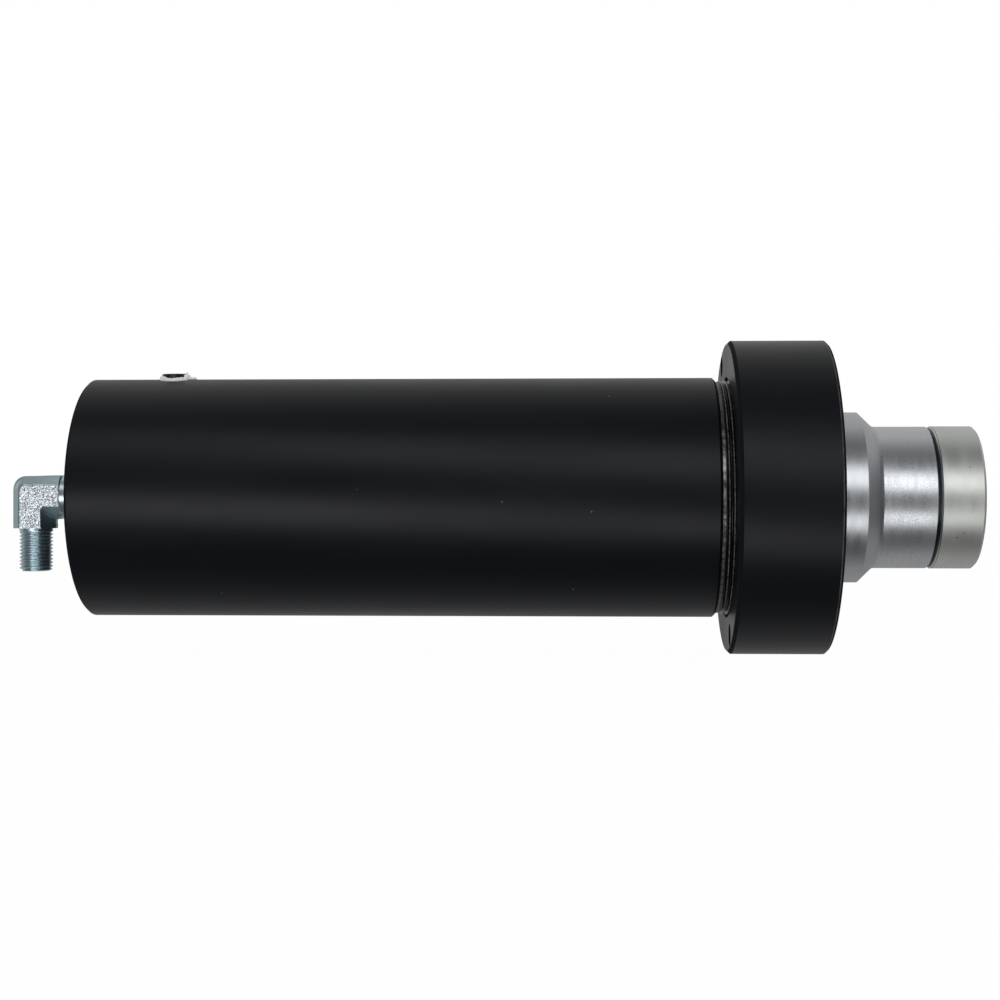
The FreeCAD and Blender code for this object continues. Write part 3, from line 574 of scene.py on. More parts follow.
@dataclass(frozen=True)
class Metal:
    """Bare or plated metal with turning marks, grain and small dark pits.

    Attributes:
        name: the material's name.
        colour: the lighter of its two clouded tones.
        shade: the darker one.
        roughness: how dull the metal is.
        marks: metres that the rings of turning rise.
        grain: metres that the grain rises.
        pits: the share of pitted spots.
        anisotropy: how far the marks draw highlights out round the axis.
        root_shade: painted shade between a thread's crests, as a share of the darker tone that the roots
            keep.
        sparkle: where along X polished and dull spots lie side by side.
        gap_shade_bands: where along X shade is painted on, in and beside the gap between ram and saddle.
        gap_shade_tone: the tone of that painted shade.
    """

    name: str
    colour: Colour
    shade: Colour
    roughness: float
    marks: float = 0.01 * MM
    grain: float = 0.0
    pits: float = 0.02
    anisotropy: float = 0.0
    root_shade: float = 0.0
    sparkle: tuple[float, float] | None = None
    gap_shade_bands: tuple[tuple[float, float], ...] = ()
    gap_shade_tone: Colour = (0.085, 0.105, 0.118)

    def build(self) -> bpy.types.Material:
        """The material: two clouded tones, rings of turning and grain in the bump, and pits."""
        s = Shader(self.name)
        cloud = s.noise(60.0, 4.0)
        marks = s.group(TOOL_MARKS, Along=3200.0, Across=25.0)
        rings, streak = marks.outputs["Height"], marks.outputs["Streak"]
        pits = s.times(s.specks(420.0, 0.16, self.pits), 0.6)
        tone = s.plus(s.times(cloud, 0.6), s.times(streak, 0.5))
        colour = s.blend(s.span(tone, 0.35, 0.75), self.shade, self.colour)
        colour = s.blend(pits, colour, (0.05, 0.05, 0.05))
        # Painted shade: the thread's roots are darkened towards the darker tone.
        if self.root_shade:
            colour = s.blend(s.attribute("crest"), scaled(self.shade, self.root_shade), colour)
        rough = s.span(streak, 0.3, 0.7, self.roughness - 0.02, self.roughness + 0.03)
        if self.sparkle:
            zone = s.zone(*self.sparkle, 0.4 * MM)
            spots = s.span(s.noise(2800.0, 1.0), 0.35, 0.65)
            dull, polished = scaled(self.colour, 0.98), scaled(self.colour, 1.17)
            colour = s.blend(zone, colour, s.blend(spots, dull, polished))
            rough = s.plus(rough, s.times(zone, s.span(spots, 0.0, 1.0, 0.035, -0.02)))
        # Painted shade: dark bands in and beside the gap between ram and saddle, mottled by the cloud
        # noise.
        for low, high in self.gap_shade_bands:
            gap_shade_mask = s.times(s.zone(low, high, 0.15 * MM), s.span(cloud, 0.3, 0.6, 0.75, 1.0))
            colour = s.blend(gap_shade_mask, colour, self.gap_shade_tone)
        height = s.times(rings, self.marks / METAL_RELIEF)
        if self.grain:
            height = s.plus(height, s.times(s.noise(2600.0), self.grain / METAL_RELIEF))
        if self.anisotropy:
            tangent = s.node("Tangent", direction_type="RADIAL", axis="X")
            s.material_with(Tangent=tangent.outputs[0])
        return s.material_with(Base_Color=colour, Roughness=rough, Metallic=1.0,
                               Anisotropic=self.anisotropy,
                               Normal=s.bump(s.math("SUBTRACT", height, pits), METAL_RELIEF))


@dataclass(frozen=True)
class Scuffed:
    """A dark turned band, scuffed bare in spots by the collar's spanner."""

    name: str
    bare: Colour = (0.42, 0.41, 0.39)
    dark: Colour = (0.05, 0.05, 0.05)

    def build(self) -> bpy.types.Material:
        """The material: two tones by a fine noise, both slightly metallic, with painted shade that makes
        it darker above and below.
        """
        s = Shader(self.name)
        spots = s.plus(s.times(s.noise(420.0, 4.0), 0.7), s.times(s.noise(40.0), 0.4))
        # Painted shade: fewer light spots towards the top and the bottom of the band.
        from_middle = s.math("ABSOLUTE", s.node("SeparateXYZ", s.place).outputs[2])
        share = s.times(s.span(spots, 0.42, 0.68), s.span(from_middle, 18 * MM, 34 * MM, 1.0, 0.35))
        return s.material_with(Base_Color=s.blend(share, self.dark, self.bare), Roughness=0.36,
                               Metallic=s.span(share, 0.0, 1.0, 0.5, 0.95),
                               Normal=s.bump(spots, METAL_RELIEF))


@dataclass(frozen=True)
class Forging:
    """Plated forging: smooth bluish trimmed edges round bright rough faces."""

    name: str
    smooth: Colour = (0.62, 0.79, 0.85)
    rough: Colour = (0.64, 0.69, 0.73)

    def build(self) -> bpy.types.Material:
        """The material, which follows the mesh's own forged_face attribute."""
        s = Shader(self.name)
        face = s.attribute("forged_face")
        smooth = s.blend(s.noise(180.0, 3.0), scaled(self.smooth, 0.85), self.smooth)
        grain = s.times(s.noise(2600.0, 3.0), s.span(face, 0.0, 1.0, 0.3, 1.0))
        return s.material_with(Base_Color=s.blend(face, smooth, self.rough), Metallic=1.0,
                               Roughness=s.span(face, 0.0, 1.0, 0.34, 0.30),
                               Normal=s.bump(grain, FORGED_RELIEF))


@dataclass(frozen=True)
class SoftStuff:
    """Rubber, plastic or film, with mottled colour and a fine grain.

    Attributes:
        name: the material's name.
        colour: the first of its two mottled tones.
        second: the other one.
        roughness: how dull it is.
        mottle_scale: how fine the mottling is.
        relief: metres that the mottling rises.
        painted_glow: a faint painted glow of emission that brightens a thin film, standing in for light
            that it would let through.
    """

    name: str
    colour: Colour
    second: Colour
    roughness: float
    mottle_scale: float = 700.0
    relief: float = 0.03 * MM
    painted_glow: float = 0.0

    def build(self) -> bpy.types.Material:
        """The material: two tones by noise, its bump, and a painted glow that brightens a thin film."""
        s = Shader(self.name)
        mottle = s.noise(self.mottle_scale, 4.0)
        # Painted light: the emission makes a film glow though it is no lamp.
        return s.material_with(
            Base_Color=s.blend(s.span(mottle, 0.35, 0.65), self.colour, self.second),
            Roughness=s.span(mottle, 0.3, 0.7, self.roughness - 0.06, self.roughness + 0.06),
            Normal=s.bump(mottle, self.relief),
            Emission_Color=(1.0, 0.99, 0.97, 1), Emission_Strength=self.painted_glow)


def dress(node: str, material: bpy.types.Material) -> None:
    """Gives a carried-over node its finish.

    Args:
        node: the node's name.
        material: the finish.
    """
    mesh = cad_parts[node].data
    mesh.materials.clear()
    mesh.materials.append(material)
    LOG.info("dressed %s with %s", node, material.name)


def place_piece(piece: bpy.types.Object, body: Body, material: bpy.types.Material, slot: str,
                *stands_for: str) -> None:
    """Finishes a new piece and puts it on its body.

    Args:
        piece: the new object.
        body: the body that it moves with.
        material: its finish.
        slot: the record's material slot that it belongs to; not used.
        stands_for: nodes that it replaces.
    """
    piece.data.materials.append(material)
    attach(piece, body.value)
    if stands_for:
        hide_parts(*stands_for)
    LOG.info("placed %s on %s", piece.name, body.value)


@dataclass
class Barrel:
    """The black barrel, its collar and the thread that shows between them."""

    band_start: float = -5.05 * MM
    thread_start: float = -3.75 * MM
    thread_end: float = 2.1 * MM
    band_radius: float = 48.34 * MM
    crest: float = 49.0 * MM
    depth: float = 1.15 * MM
    pitch: float = 2.0 * MM
    hole_circle: float = 59.2 * MM
    hole_tilt: float = math.radians(18.4)
    hole_pitch: float = 1.5 * MM
    rear_chamfer: float = 1.1 * MM
    seat_chamfer: float = 1.5 * MM
    front_chamfer: float = 1.0 * MM

    def thread(self) -> bpy.types.Object:
        """The collar's thread where it is bare.

        Returns:
            The new object.
        """
        low = self.crest - 2 * self.depth
        return Turning(
            step=0.1 * MM, around=288,
            outline=[(self.thread_start, self.crest - self.depth, 0),
                     (self.thread_start + 0.4 * MM, self.crest, 0), (self.thread_end, self.crest, 0),
                     (self.thread_end, low, 0), (self.thread_start, low, 0)],
            thread=Thread(self.pitch, self.depth, self.thread_start + 0.3 * MM, self.thread_end, 0.4 * MM)
        ).build("collar_thread")

    def band(self) -> bpy.types.Object:
        """The scuffed band between the barrel's shoulder and the thread.

        Returns:
            The new object.
        """
        top, low = self.band_radius, self.band_radius - 0.6 * MM
        return Turning(
            step=0.3 * MM, around=288,
            outline=[(self.band_start, low, 0), (self.band_start, top, 0.05 * MM),
                     (self.thread_start, top, 0.15 * MM), (self.thread_start, low, 0)]
        ).build("scuffed_band")

    def tapping(self, name: str, up: float) -> bpy.types.Object:
        """The M10 thread in one of the collar's holes.

        Args:
            name: the piece's name.
            up: 1 for the upper hole and -1 for the lower one.

        Returns:
            The new object.
        """
        centre = (0.0, up * self.hole_circle * math.sin(self.hole_tilt),
                  up * self.hole_circle * math.cos(self.hole_tilt))
        start, end, wall, tip = 0.5 * MM, 18.0 * MM, 4.24 * MM, 3.95 * MM
        return Turning(
            step=0.15 * MM, around=64, origin=centre,
            outline=[(end, wall, 0), (end, tip, 0), (start, tip, 0), (start, wall, 0)],
            thread=Thread(self.hole_pitch, tip - wall, start, end, 0.2 * MM)).build(name)

    def build(self) -> None:
        """Dresses barrel, plug and collar, and cuts the threads."""
        rear = float(node_size("barrel")[0][0])
        front = float(node_size("mounting_collar")[1][0])
        barrel_paint = Enamel("barrel_enamel", bevels=((rear, rear + self.rear_chamfer),)).build()
        dress("barrel", barrel_paint)
        dress("base_plug", barrel_paint)
        # The collar's front edge gets a lighter line: partly thin paint, partly a painted highlight of the
        # edge.
        dress("mounting_collar", Enamel(
            "collar_enamel", highlit_worn_edges=(front - self.front_chamfer - 0.15 * MM,),
            bevels=((0.1 * MM, self.seat_chamfer), (front - self.front_chamfer, front))).build())
        oiled = Enamel("thread_enamel", roughness=0.25, shine=0.4).build()
        scuffed = Scuffed("scuffed_steel").build()
        place_piece(self.thread(), Body.BARREL, oiled, "black_enamel")
        place_piece(self.band(), Body.BARREL, scuffed, "black_enamel")
        for name, up in (("upper_tapping", 1.0), ("lower_tapping", -1.0)):
            place_piece(self.tapping(name, up), Body.BARREL, oiled, "black_enamel")


@dataclass
class Elbow:
    """The forged elbow in the rear port: two arms, a turned inlet and a threaded outlet."""

    width: float = 18.2 * MM
    thickness: float = 14.5 * MM
    bevel: float = 3.75 * MM
    bevel_depth: float = 3.0 * MM
    slope: float = 5.0 * MM
    slope_depth: float = 5.6 * MM
    outer_round: float = 6.0 * MM
    face_round: float = 2.4 * MM
    arm_in: float = 11.6 * MM
    collar_from: float = 12.0 * MM
    collar_to: float = 16.6 * MM
    arm_out: float = 13.1 * MM
    outlet_length: float = 31.3 * MM
    crest: float = 7.0 * MM
    bore: float = 3.5 * MM
    neck: float = 5.95 * MM
    collar_neck: float = 5.6 * MM
    outlet_trim: float = 0.45 * MM
    inlet_draft: float = 0.3 * MM
    relief: float = 0.105 * MM
    pitch: float = 1.5 * MM
    thread_depth: float = 0.92 * MM

    def corner(self) -> Array:
        """The point where the axes of inlet and outlet meet, on the ram's axis."""
        return np.array([node_size("elbow_fitting")[0][0] + self.width / 2, 0.0, 0.0])

    def section(self) -> tuple[Array, Array, Array]:
        """One loop round an arm.

        It is an octagon whose corners are eased: straight runs from corner to corner, with points a
        fifth of a millimetre apart. w runs from the inside of the bend to the outside, and y across.

        Returns:
            w, y and how much of each point lies on a forged side face, from 0 to 1.
        """
        half, side = self.width / 2, self.thickness / 2
        corners = np.array([
            (half, -(side - self.bevel_depth)), (half, side - self.bevel_depth),
            (half - self.bevel, side), (self.slope - half, side), (-half, side - self.slope_depth),
            (-half, -(side - self.slope_depth)), (self.slope - half, -side), (half - self.bevel, -side)])
        loop = []
        for a, b in zip(corners, np.roll(corners, -1, axis=0)):
            count = max(4, round(np.linalg.norm(b - a) / (0.2 * MM)))
            loop.append(a + (b - a) * np.linspace(0, 1, count, endpoint=False)[:, None])
        w, y = np.vstack(loop).T
        eased = np.array([0.25, 0.5, 0.25])
        w, y = (np.convolve(np.r_[v[-1], v, v[0]], eased, "valid") for v in (w, y))
        inset = 0.4 * MM
        on_face = smoothstep(side - 0.02 * MM, side - 0.005 * MM, np.abs(y))
        on_face = on_face * smoothstep(self.slope - half, self.slope - half + inset, w)
        on_face = on_face * (1 - smoothstep(half - self.bevel - inset, half - self.bevel, w))
        return w, y, on_face

    def route(self, w: Array, share: Array) -> tuple[Array, Array]:
        """Where a line of the section runs, from the inlet round the corner to the outlet.

        It is a straight run to the start of the corner's arc, a quarter circle whose radius grows
        from the inside of the bend to the outside, and a straight run down.

        Args:
            w: the line's place across the bend.
            share: 0 to 1 on the first run, to 2 on the arc and to 3 on the second run.

        Returns:
            x and z of each point, from the corner of the axes.
        """
        half = self.width / 2
        face = half - self.bevel
        radius = 0.3 * MM + (self.face_round - 0.3 * MM) * smoothstep(-half, face, w)
        radius = radius + (self.outer_round - self.face_round) * smoothstep(face, half, w)
        first, arc, second = (np.clip(share - k, 0, 1) for k in range(3))
        start_x, end_z = -w + radius, w - radius
        turn = arc * math.pi / 2
        x = self.arm_in + first * (start_x - self.arm_in) - radius * np.sin(turn)
        z = w - radius * (1 - np.cos(turn)) + second * (-self.arm_out - end_z)
        return x, z

    def forging(self) -> bpy.types.Object:
        """The two arms as one surface, with worm-like relief on the forged faces.

        Returns:
            The new object.
        """
        w, y, on_face = self.section()
        share = np.concatenate([np.linspace(0, 1, 70, endpoint=False),
                                np.linspace(1, 2, 18, endpoint=False), np.linspace(2, 3, 80)])[:, None]
        x, z = self.route(w[None, :], share)
        y, face = np.broadcast_to(y, x.shape).copy(), np.broadcast_to(on_face, x.shape).copy()
        ends = np.minimum(share / 0.06, (3 - share) / 0.06)
        face = face * np.clip(ends, 0, 1)
        lattice = np.stack([x, y * 0.2, z], -1) / (0.85 * MM)
        bend = np.stack([value_noise(lattice * 0.5, k) for k in (5, 6, 7)], -1) * 1.5
        worms = 1 - 2 * np.abs(value_noise(lattice + bend, 11))
        fine = value_noise(lattice * 2.3, 3)
        y = y + np.sign(y) * face * self.relief * (0.45 + 0.8 * worms + 0.35 * fine)
        flash = 1 - smoothstep(0.0, 1.6 * MM, w + self.width / 2)
        ragged = 0.22 * MM * flash[None, :] * value_noise(np.stack([x, 0 * x, z], -1) / (1.3 * MM), 17)
        outer = smoothstep(self.width / 2 - self.bevel, self.width / 2, w)[None, :]
        x = x + self.outlet_trim * outer * smoothstep(1, 2, share)
        z = z + self.inlet_draft * outer * (1 - smoothstep(0, 1, share))
        points = np.stack([x - ragged * (share > 1.5), y, z - ragged * (share <= 1.5)], -1) + self.corner()
        piece = surface_object("elbow_forging", points, caps=True)
        sharpen(piece, 50)
        keep_mask(piece, "forged_face", face)
        return piece

    def outlet(self) -> bpy.types.Object:
        """The M14 outlet with its thread, bevelled end and oil bore.

        Returns:
            The new object.
        """
        top, end = self.arm_out, self.outlet_length
        turning = Turning(
            step=0.075 * MM, around=160, origin=tuple(self.corner()), axis=Axis.DOWN,
            outline=[(top - 1 * MM, self.bore, 0), (top - 1 * MM, self.crest, 0),
                     (end - 1.0 * MM, self.crest, 0.1 * MM), (end, self.crest - 1.0 * MM, 0.1 * MM),
                     (end, self.bore + 0.5 * MM, 0.1 * MM), (end - 0.5 * MM, self.bore, 0.1 * MM)],
            thread=Thread(self.pitch, self.thread_depth, top + 1.9 * MM, end - 0.3 * MM, 0.9 * MM))
        return turning.build("elbow_outlet")

    def inlet(self) -> bpy.types.Object:
        """The neck, the turned collar and the stud that screws into the rear port.

        Returns:
            The new object.
        """
        start, end = self.collar_from, self.collar_to
        reach = float(node_size("elbow_fitting")[1][0] - self.corner()[0])
        turning = Turning(
            step=0.2 * MM, around=144, origin=tuple(self.corner()),
            outline=[(self.arm_in - 0.5 * MM, self.bore, 0), (self.arm_in - 0.5 * MM, self.collar_neck, 0),
                     (start, self.collar_neck, 0), (start + 0.1 * MM, 9.1 * MM, 0.1 * MM),
                     (start + 0.4 * MM, 9.4 * MM, 0.1 * MM), (end - 0.4 * MM, 9.4 * MM, 0.2 * MM),
                     (end, 9.0 * MM, 0.1 * MM), (end, self.neck, 0),
                     (end + 1.6 * MM, self.neck, 0.1 * MM), (end + 2.2 * MM, 6.95 * MM, 0.1 * MM),
                     (reach - 0.8 * MM, 6.95 * MM, 0.1 * MM), (reach, 6.2 * MM, 0.1 * MM),
                     (reach, self.bore, 0)],
            thread=Thread(self.pitch, self.thread_depth, end + 2.4 * MM, reach - 0.3 * MM, 0.5 * MM))
        return turning.build("elbow_inlet")

    def build(self) -> None:
        """Builds the three surfaces in place of the plain node, and dresses nut and washer."""
        plated = Forging("plated_forging").build()
        turned = Metal("plated_turning", (0.66, 0.77, 0.82), (0.58, 0.67, 0.72), 0.26, marks=0.0).build()
        # The outlet's thread roots get painted shade.
        threaded = Metal("plated_thread", (0.80, 0.95, 1.0), (0.72, 0.86, 0.92), 0.30, marks=0.0,
                         root_shade=0.9).build()
        place_piece(self.forging(), Body.BARREL, plated, "zinc_forging", "elbow_fitting")
        place_piece(self.outlet(), Body.BARREL, threaded, "zinc_forging")
        place_piece(self.inlet(), Body.BARREL, turned, "zinc_forging")
        dress("elbow_locknut", turned)
        dress("elbow_washer", turned)


@dataclass
class SidePort:
    """The plugged side port with its wrapped tape."""

    tilt: float = math.radians(5.5)
    surface: float = 50.0 * MM
    foot: float = 5.95 * MM
    taper: float = 0.478

    def centre(self) -> float:
        """Where along the barrel the plug stands."""
        low, high = node_size("port_plug")
        return float(low[0] + high[0]) / 2

    def on_port(self, across: Array, round_barrel: Array, height: Array) -> Array:
        """Points given by their distance along the barrel, their arc round it and their height.

        The arc divided by the radius is added to the port's tilt, and the point stands at the
        barrel's radius plus its height at that angle.

        Args:
            across: metres along the barrel from the port's axis.
            round_barrel: metres round the barrel towards the camera from the port's axis.
            height: metres above the barrel.

        Returns:
            An array of points.
        """
        angle = self.tilt + round_barrel / self.surface
        radius = self.surface + height
        return np.stack([self.centre() + across, -radius * np.sin(angle), radius * np.cos(angle)], -1)

    def tape_ring(self) -> bpy.types.Object:
        """Layers of tape round the plug's foot, ragged at their top edge.

        The section is a flat loop: an ellipse that leans with the plug's taper, whose height and
        place change with the angle by noise, carried round the plug.

        Returns:
            The new object.
        """
        turn = angles(240)[:, None]
        loop = angles(20)[None, :]
        where = np.stack([np.cos(turn) * 2.2, np.sin(turn) * 2.2, turn * 0], -1)
        ragged = value_noise(where, 2) * 0.6 + value_noise(where * 3.1, 8) * 0.4
        tall = (1.45 + 0.40 * ragged + 0.75 * smoothstep(0.3, 1.0, -np.cos(turn))) * MM
        height = tall / 2 * (1 + np.sin(loop)) - 0.15 * MM
        lattice = np.stack([where[..., 0] * 2 + 0 * loop, where[..., 1] * 2 + 0 * loop,
                            height / MM * 2.2], -1)
        wrinkle = 0.07 * MM * value_noise(lattice, 6)
        radius = self.foot + 0.25 * MM - self.taper * height + 0.26 * MM * np.cos(loop) + wrinkle
        points = self.on_port(radius * np.cos(turn), radius * np.sin(turn), height)
        return surface_object("port_tape", points, closed_rows=True)

    def tape_tail(self) -> bpy.types.Object:
        """The loose end of the tape, crumpled beside the plug.

        The lump runs along the barrel. Its height is a crest near the plug that falls off along the
        tail, its section is an ellipse on the barrel, and noise folds it.

        Returns:
            The new object.
        """
        share = np.linspace(0, 1, 90)[:, None]
        loop = angles(36)[None, :]
        across = (4.3 + 5.2 * share) * MM
        tall = 0.95 + 1.75 * np.exp(-((across / MM - 5.5) / 1.15) ** 2)
        tall = tall * np.sqrt(np.clip(1 - share ** 8, 0.05, 1)) * MM
        wide = (2.3 - 1.3 * share) * MM
        centre = (1.6 - 1.4 * share) * MM
        round_barrel = centre + wide * np.cos(loop)
        height = tall / 2 * (1 + np.sin(loop))
        where = np.stack([across / MM + 0 * loop, round_barrel / MM, height / MM], -1)
        fold, crease = value_noise(where * 1.1, 21), np.abs(value_noise(where * 1.9, 27))
        shrink = 1 + 0.30 * fold - 0.35 * crease
        points = self.on_port(across + 0.35 * MM * fold, centre + wide * np.cos(loop) * shrink,
                              height * shrink + 0.02 * MM)
        return surface_object("port_tape_tail", points, caps=True, inside_out=True)

    def build(self) -> None:
        """Dresses the plug and wraps the tape."""
        # The tape glows faintly as painted light.
        tape = SoftStuff("sealing_film", (0.86, 0.86, 0.85), (0.97, 0.97, 0.95), 0.5, 900.0, 0.05 * MM,
                         painted_glow=0.2).build()
        dress("port_plug", Enamel("plug_enamel", roughness=0.28, shine=0.5).build())
        place_piece(self.tape_ring(), Body.BARREL, tape, "sealing_tape", "thread_tape")
        place_piece(self.tape_tail(), Body.BARREL, tape, "sealing_tape")


@dataclass
class WorkingEnd:
    """The ram with its saddle."""

    nose: float = 23.5 * MM
    nose_chamfer: float = 1.2 * MM
    saddle_edge: float = 1.0 * MM

    def build(self) -> None:
        """Dresses the turned ram and the plated saddle."""
        end = float(node_size("ram")[1][0])
        # The nose chamfer gets painted shade where it faces the saddle across the gap.
        dress("ram", Metal("turned_ram", (0.62, 0.645, 0.67), (0.575, 0.60, 0.625), 0.28, marks=0.003 * MM,
                           grain=0.004 * MM, pits=0.004, anisotropy=0.3,
                           sparkle=(end - self.nose, end),
                           gap_shade_bands=((end - self.nose_chamfer, end),)).build())
        rim = end + self.saddle_edge
        # The saddle's rear face and rim get painted shade beside the gap.
        dress("saddle", Metal("plated_saddle", (0.82, 0.84, 0.80), (0.73, 0.75, 0.72), 0.40,
                              marks=0.004 * MM, grain=0.008 * MM, pits=0.045,
                              gap_shade_bands=((end, end + 0.45 * MM), (rim - 0.1 * MM, rim + 0.1 * MM))).build())


@dataclass
class Internals:
    """What the barrel and the ram hide."""

    wire: float = 4.0 * MM
    coils: int = 17
    rings_in_coil: int = 60
    points_round_wire: int = 12
    stroke: float = 160.0 * MM

    def spring(self) -> bpy.types.Object:
        """The return spring at rest, as a rigid mesh; the real spring shortens towards its front seat as
        the ram slides out.

        A point stands on a circle of wire, whose middle goes round the axis at the coil's radius and
        forward in step with its angle.

        Returns:
            The new object.
        """
        low, high = node_size("return_spring")
        length, coil = high[0] - low[0], (high[2] - low[2] - self.wire) / 2
        share = np.linspace(0, 1, self.coils * self.rings_in_coil + 1)[:, None]
        turn = TURN * self.coils * share
        round_wire = angles(self.points_round_wire)[None, :]
        along = low[0] + self.wire / 2 * (1 + np.sin(round_wire)) + (length - self.wire) * share
        radius = coil + self.wire / 2 * np.cos(round_wire)
        points = np.stack([along, -radius * np.sin(turn), radius * np.cos(turn)], -1)
        piece = surface_object("coil_spring", points, caps=True, inside_out=True)
        sharpen(piece, 50)
        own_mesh(piece)
        return piece

    def build(self) -> None:
        """Coils the spring and dresses every other inner node by what it is made of."""
        steel = Metal("machined_steel", (0.50, 0.50, 0.51), (0.38, 0.38, 0.39), 0.32).build()
        iron = Metal("grey_iron", (0.20, 0.20, 0.21), (0.13, 0.13, 0.14), 0.55, grain=0.02 * MM).build()
        wire = Metal("spring_wire", (0.12, 0.12, 0.14), (0.07, 0.07, 0.08), 0.38, grain=0.01 * MM).build()
        nitrile = SoftStuff("nitrile", (0.012, 0.012, 0.012), (0.022, 0.022, 0.022), 0.6).build()
        urethane = SoftStuff("urethane", (0.03, 0.10, 0.26), (0.04, 0.13, 0.32), 0.4, 500.0).build()
        phenolic = SoftStuff("phenolic", (0.30, 0.13, 0.05), (0.42, 0.22, 0.09), 0.6, 1200.0,
                             0.05 * MM).build()
        film = SoftStuff("filled_film", (0.70, 0.70, 0.68), (0.80, 0.80, 0.78), 0.5).build()
        place_piece(self.spring(), Body.BARREL, wire, "spring_wire", "return_spring")
        for material, nodes in {
                steel: ("tie_rod", "tie_rod_washer", "tie_rod_nut", "spring_seat", "piston",
                        "piston_lock_screw"),
                iron: ("gland",),
                wire: ("saddle_snap_ring",),
                nitrile: ("base_o_ring", "gland_o_ring", "ram_o_ring"),
                urethane: ("wiper_seal", "piston_lip_seal"),
                phenolic: ("gland_guide_band", "piston_guide_band"),
                film: ("base_backup_ring", "piston_backup_ring")}.items():
            for node in nodes:
                dress(node, material)


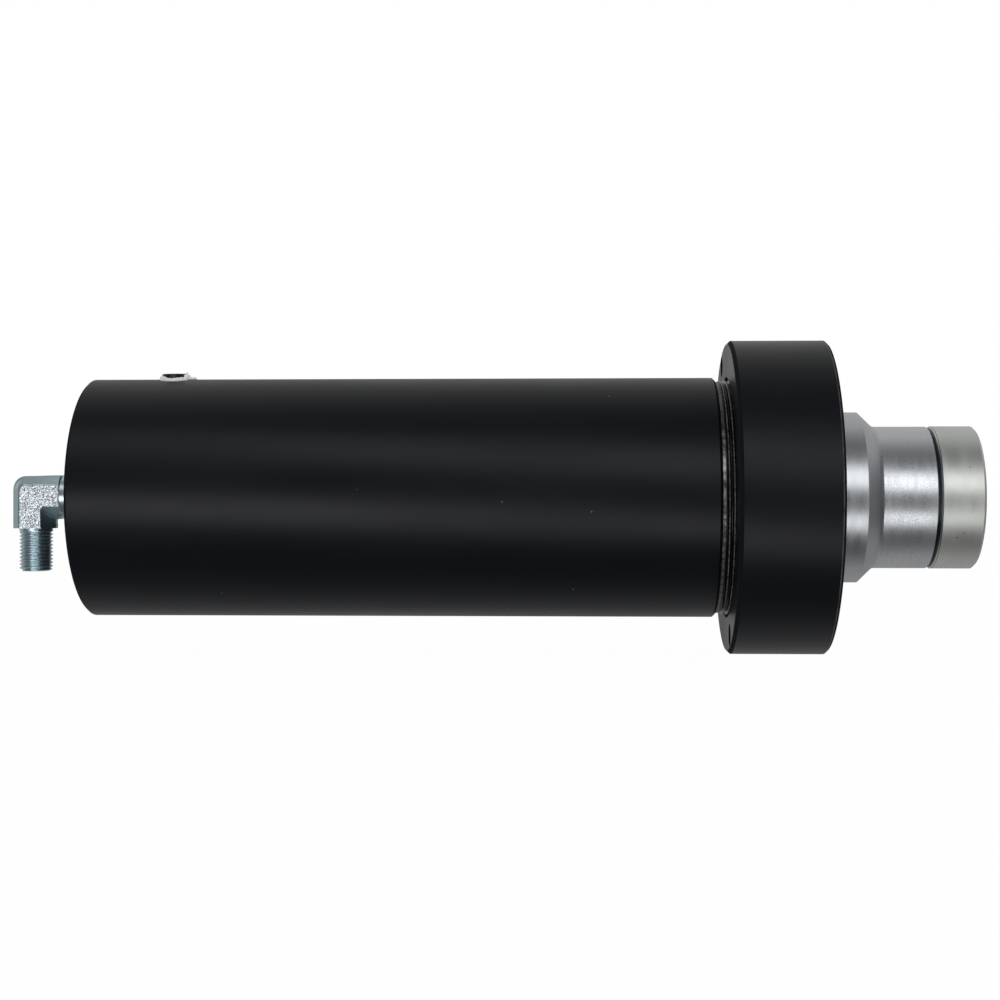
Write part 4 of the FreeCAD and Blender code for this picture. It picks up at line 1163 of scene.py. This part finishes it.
@dataclass
class Studio:
    """Camera, lamps, floor and surroundings."""

    camera_place: tuple[float, float, float] = (-0.06515, -0.73882, 0.0)
    camera_yaw: float = 2.623
    lens: float = 63.14
    shift: tuple[float, float] = (0.01048, -0.0026)
    room_light: float = 0.14
    behind_light: float = 0.51
    low_share: float = 0.66
    left_share: float = 1.15
    right_share: float = 0.84
    lamp_distance: float = 1.6
    floor_reach: float = 6.0
    white_share: float = 0.985

    def camera(self) -> None:
        """The camera at the photograph's place, level with the ram's axis."""
        data = bpy.data.cameras.new("camera")
        data.lens, data.sensor_width = self.lens, 36.0
        data.shift_x, data.shift_y = self.shift
        data.clip_start, data.clip_end = 0.01, 50.0
        camera = bpy.data.objects.new("camera", data)
        camera.location = self.camera_place
        camera.rotation_euler = (math.radians(90), 0, math.radians(self.camera_yaw))
        bpy.context.scene.collection.objects.link(camera)
        bpy.context.scene.camera = camera

    def lamp(self, name: str, left: tuple[float, float], right: tuple[float, float], width: float,
             glow: tuple[float, float]) -> None:
        """A long soft box on the camera's side, higher at its left end than at its right.

        Its ends stand at a fixed distance from the ram's axis, each at its own place along the axis
        and its own elevation.

        Args:
            name: the lamp's name.
            left: the left end's place along X in metres and its degrees above the axis.
            right: the same of the right end.
            width: metres across.
            glow: how bright the lamp is at its left and at its right end.
        """
        ends = [Vector((x, -self.lamp_distance * math.cos(math.radians(e)),
                        self.lamp_distance * math.sin(math.radians(e)))) for x, e in (left, right)]
        middle = (ends[0] + ends[1]) / 2
        along = (ends[1] - ends[0]).normalized()
        back = (middle - along * middle.dot(along)).normalized()
        data = bpy.data.lights.new(name, "AREA")
        data.shape, data.size, data.size_y = "RECTANGLE", (ends[1] - ends[0]).length, width
        data.energy = math.pi * data.size * data.size_y
        data.use_nodes = True
        nodes = Nodes(data.node_tree)
        place = nodes.node("SeparateXYZ", nodes.node("NewGeometry").outputs["Parametric"])
        ramp = nodes.node("MapRange", place.outputs[0], 0.0, 1.0, *glow)
        nodes.feed(nodes.tree.nodes["Emission"].inputs["Strength"], ramp.outputs[0])
        lamp = bpy.data.objects.new(name, data)
        lamp.matrix_world = Matrix.Translation(middle) @ Matrix((along, back.cross(along), back)
                                                                ).transposed().to_4x4()
        bpy.context.scene.collection.objects.link(lamp)

    def surroundings(self) -> None:
        """A world that is white to the camera, bright behind the ram and dim on the camera's side.

        Its strength is the product of four smooth changes: from front to back, from below to above,
        at the far left and at the far right.
        """
        world = bpy.data.worlds.new("surroundings")
        bpy.context.scene.world = world
        world.use_nodes = True
        nodes = Nodes(world.node_tree)
        nodes.tree.nodes.clear()
        x, y, z = nodes.node("SeparateXYZ", nodes.node("TexCoord").outputs["Generated"]).outputs
        strength = nodes.span(y, -0.35, 0.45, self.room_light, self.behind_light)
        for share in (nodes.span(z, -0.25, 0.25, self.low_share, 1.0),
                      nodes.span(x, -0.45, -0.1, self.left_share, 1.0),
                      nodes.span(x, 0.15, 0.6, 1.0, self.right_share)):
            strength = nodes.times(strength, share)
        lit, white = (nodes.node("Background", (1, 1, 1, 1), power) for power in (strength, 1.0))
        seen = nodes.node("LightPath").outputs["Is Camera Ray"]
        mix = nodes.node("MixShader", seen, lit.outputs[0], white.outputs[0])
        nodes.node("OutputWorld", mix.outputs[0])

    def floor(self) -> None:
        """A pale floor under the collar, which keeps a part of its shadow before the camera."""
        lowest, reach = float(CAD_BOX[0][2]) - 0.2 * MM, self.floor_reach
        mesh = bpy.data.meshes.new("floor")
        mesh.from_pydata([(-reach, -reach, lowest), (reach, -reach, lowest), (reach, reach, lowest),
                          (-reach, reach, lowest)], [], [(0, 1, 2, 3)])
        floor = bpy.data.objects.new("floor", mesh)
        floor.visible_glossy = floor.visible_shadow = False
        bpy.context.scene.collection.objects.link(floor)
        shader = Shader("pale_floor")
        shader.material_with(Base_Color=(0.86, 0.86, 0.86, 1), Roughness=0.8, Specular_IOR_Level=0.1)
        seen = shader.times(shader.node("LightPath").outputs["Is Camera Ray"], self.white_share)
        white = shader.node("Emission").outputs[0]
        mix = shader.node("MixShader", seen, shader.surface.outputs[0], white)
        shader.feed(shader.output.inputs[0], mix.outputs[0])
        mesh.materials.append(shader.material)

    def build(self) -> None:
        """Sets up the whole studio."""
        bpy.context.scene.view_settings.view_transform = "Standard"
        self.camera()
        self.lamp("upper_lamp", (-0.95, 65), (0.80, 12), 0.55, (0.7, 2.05))
        self.lamp("lower_lamp", (-0.95, 0), (0.80, -47), 0.44, (3.5, 0.62))
        self.surroundings()
        self.floor()


def main() -> None:
    """Builds the ram's pieces in order and reports each one."""
    logging.basicConfig(level=logging.INFO, format="%(message)s")
    for part in (Studio(), Barrel(), Elbow(), SidePort(), WorkingEnd(), Internals()):
        part.build()
        LOG.info("finished %s", type(part).__name__)


if __name__ == "__main__":
    main()
